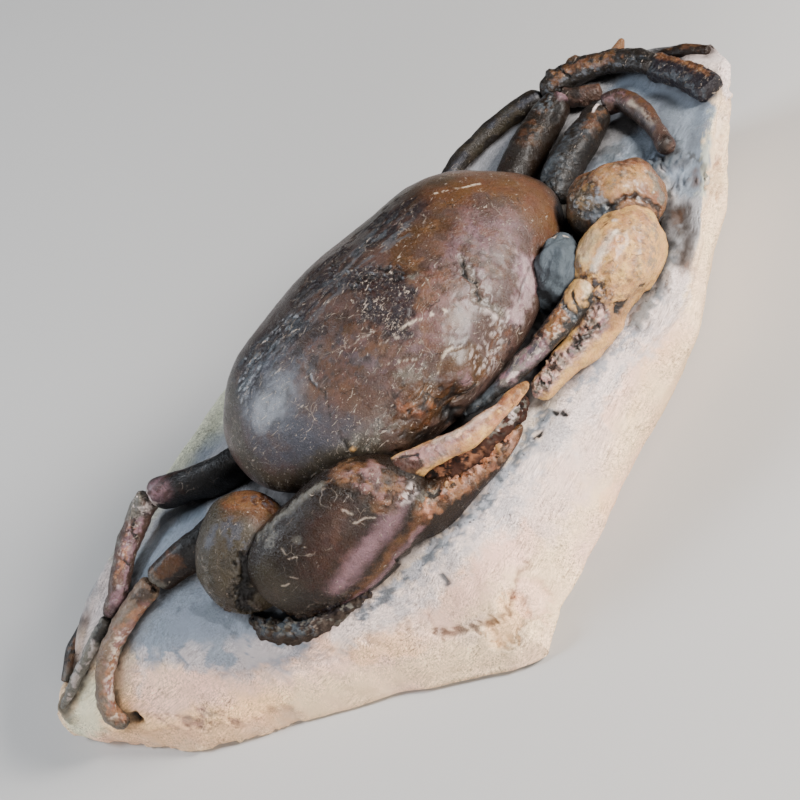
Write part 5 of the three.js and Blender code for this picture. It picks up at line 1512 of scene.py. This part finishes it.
VIEW_RIGHT = Vector((0.76604, -0.39573, -0.50652))
VIEW_UP = Vector((0.64279, 0.47162, 0.60364))
VIEW_BACK = Vector((0.0, -0.78801, 0.61566))
VIEW_TARGET = Vector((0.0012, 0.0041, 0.0367))
VIEW_DISTANCE = 0.700
LENS_MM = 113.5
FLOOR_REACH = 3.0
LIT = Vector((0, 0, 0.04))
LIGHTS = {             # direction, distance, size and colour of each soft light
    "key": ((0.74, -0.52, 0.46), 0.9, (0.26, 0.26), (1.0, 0.96, 0.92)),
    "front": ((-0.30, -0.92, 0.26), 1.0, (0.5, 0.3), (1.0, 0.96, 0.94)),
    "rear": ((-0.65, 0.43, 0.63), 1.0, (0.3, 0.3), (0.84, 0.91, 1.0)),
}


def soft_light(name, power, direction, reach, size, shade):
    """A soft light that looks at the piece from a direction."""
    data = bpy.data.lights.new(name, "AREA")
    data.shape = "RECTANGLE"
    data.size, data.size_y = size
    data.energy = power
    data.color = shade
    lamp = bpy.data.objects.new(name, data)
    bpy.context.scene.collection.objects.link(lamp)
    place = LIT + Vector(direction).normalized() * reach
    turn = (LIT - place).to_track_quat("-Z", "Y").to_matrix().to_4x4()
    lamp.matrix_world = Matrix.Translation(place) @ turn


def make_studio(studio):
    """Floor, camera, three soft lights and the even light all round."""
    corners = [(x * FLOOR_REACH, y * FLOOR_REACH, 0) for x, y in ((-1, -1), (1, -1), (1, 1), (-1, 1))]
    mesh = bpy.data.meshes.new("floor")
    mesh.from_pydata(corners, [], [(0, 1, 2, 3)])
    floor = bpy.data.objects.new("floor", mesh)
    bpy.context.scene.collection.objects.link(floor)
    plain = bpy.data.materials.new("floor_paint")
    plain.use_nodes = True
    shader = plain.node_tree.nodes["Principled BSDF"]
    shader.inputs["Base Color"].default_value = opaque(studio.floor)
    shader.inputs["Roughness"].default_value = 0.9
    mesh.materials.append(plain)

    data = bpy.data.cameras.new("view")
    data.sensor_width = 36.0
    data.lens = LENS_MM
    data.clip_start = 0.01
    camera = bpy.data.objects.new("view", data)
    bpy.context.scene.collection.objects.link(camera)
    turn = Matrix((VIEW_RIGHT, VIEW_UP, VIEW_BACK)).transposed().to_4x4()
    camera.matrix_world = Matrix.Translation(VIEW_TARGET + VIEW_BACK * VIEW_DISTANCE) @ turn
    bpy.context.scene.camera = camera

    for name, light in LIGHTS.items():
        soft_light(f"{name}_light", getattr(studio, name), *light)
    world = bpy.data.worlds.new("surroundings")
    world.use_nodes = True
    even = world.node_tree.nodes["Background"].inputs
    even["Color"].default_value = (0.9, 0.93, 1.0, 1.0)
    even["Strength"].default_value = studio.sky
    bpy.context.scene.world = world


# ---------- operators and panel ----------


class FOSSIL_OT_studio(bpy.types.Operator):
    """Adds the floor, the camera and the lights"""

    bl_idname = "fossil.studio"
    bl_label = "Studio"

    def execute(self, context):
        make_studio(context.scene.fossil_studio)
        return {"FINISHED"}


class FOSSIL_OT_block(bpy.types.Operator):
    """Adds the ground block of stone and its knobs"""

    bl_idname = "fossil.block"
    bl_label = "Stone block"

    def execute(self, context):
        make_block(context.scene.fossil_sizes, context.scene.fossil_colours)
        return {"FINISHED"}


class FOSSIL_OT_back(bpy.types.Operator):
    """Adds the domed back shell"""

    bl_idname = "fossil.back"
    bl_label = "Back shell"

    def execute(self, context):
        make_back(context.scene.fossil_sizes, context.scene.fossil_colours)
        return {"FINISHED"}


class FOSSIL_OT_claws(bpy.types.Operator):
    """Adds the wrist, palm and moving finger of both claws"""

    bl_idname = "fossil.claws"
    bl_label = "Claws"

    def execute(self, context):
        for side in ("right", "left"):
            make_claws(side, context.scene.fossil_sizes, context.scene.fossil_colours)
        return {"FINISHED"}


class FOSSIL_OT_legs(bpy.types.Operator):
    """Adds the walking legs of both sides"""

    bl_idname = "fossil.legs"
    bl_label = "Walking legs"

    def execute(self, context):
        for side in ("right", "left"):
            make_legs(side, context.scene.fossil_sizes, context.scene.fossil_colours)
        return {"FINISHED"}


OPERATORS = (FOSSIL_OT_studio, FOSSIL_OT_block, FOSSIL_OT_back, FOSSIL_OT_claws, FOSSIL_OT_legs)


class FOSSIL_PT_pieces(bpy.types.Panel):
    """Lists the pieces, the sizes and the colours"""

    bl_idname = "FOSSIL_PT_pieces"
    bl_label = "Fossil crab"
    bl_space_type = "VIEW_3D"
    bl_region_type = "UI"
    bl_category = "Fossil"

    def draw(self, context):
        for operator in OPERATORS:
            self.layout.operator(operator.bl_idname)
        for key in GROUPS:
            settings = getattr(context.scene, key)
            box = self.layout.box()
            for name in settings.__annotations__:
                box.prop(settings, name)


CLASSES = (FossilColours, FossilSizes, FossilStudio, *OPERATORS, FOSSIL_PT_pieces)
GROUPS = {"fossil_colours": FossilColours, "fossil_sizes": FossilSizes, "fossil_studio": FossilStudio}


def register():
    """Registers the classes and hangs the settings on the scene."""
    for kind in CLASSES:
        bpy.utils.register_class(kind)
    for name, kind in GROUPS.items():
        setattr(bpy.types.Scene, name, PointerProperty(type=kind))


def unregister():
    """Takes the settings and the classes away again."""
    for name in GROUPS:
        delattr(bpy.types.Scene, name)
    for kind in reversed(CLASSES):
        bpy.utils.unregister_class(kind)


def main():
    """Registers the classes and makes everything."""
    register()
    bpy.ops.fossil.studio()
    bpy.ops.fossil.block()
    bpy.ops.fossil.back()
    bpy.ops.fossil.claws()
    bpy.ops.fossil.legs()


if __name__ == "__main__":
    main()
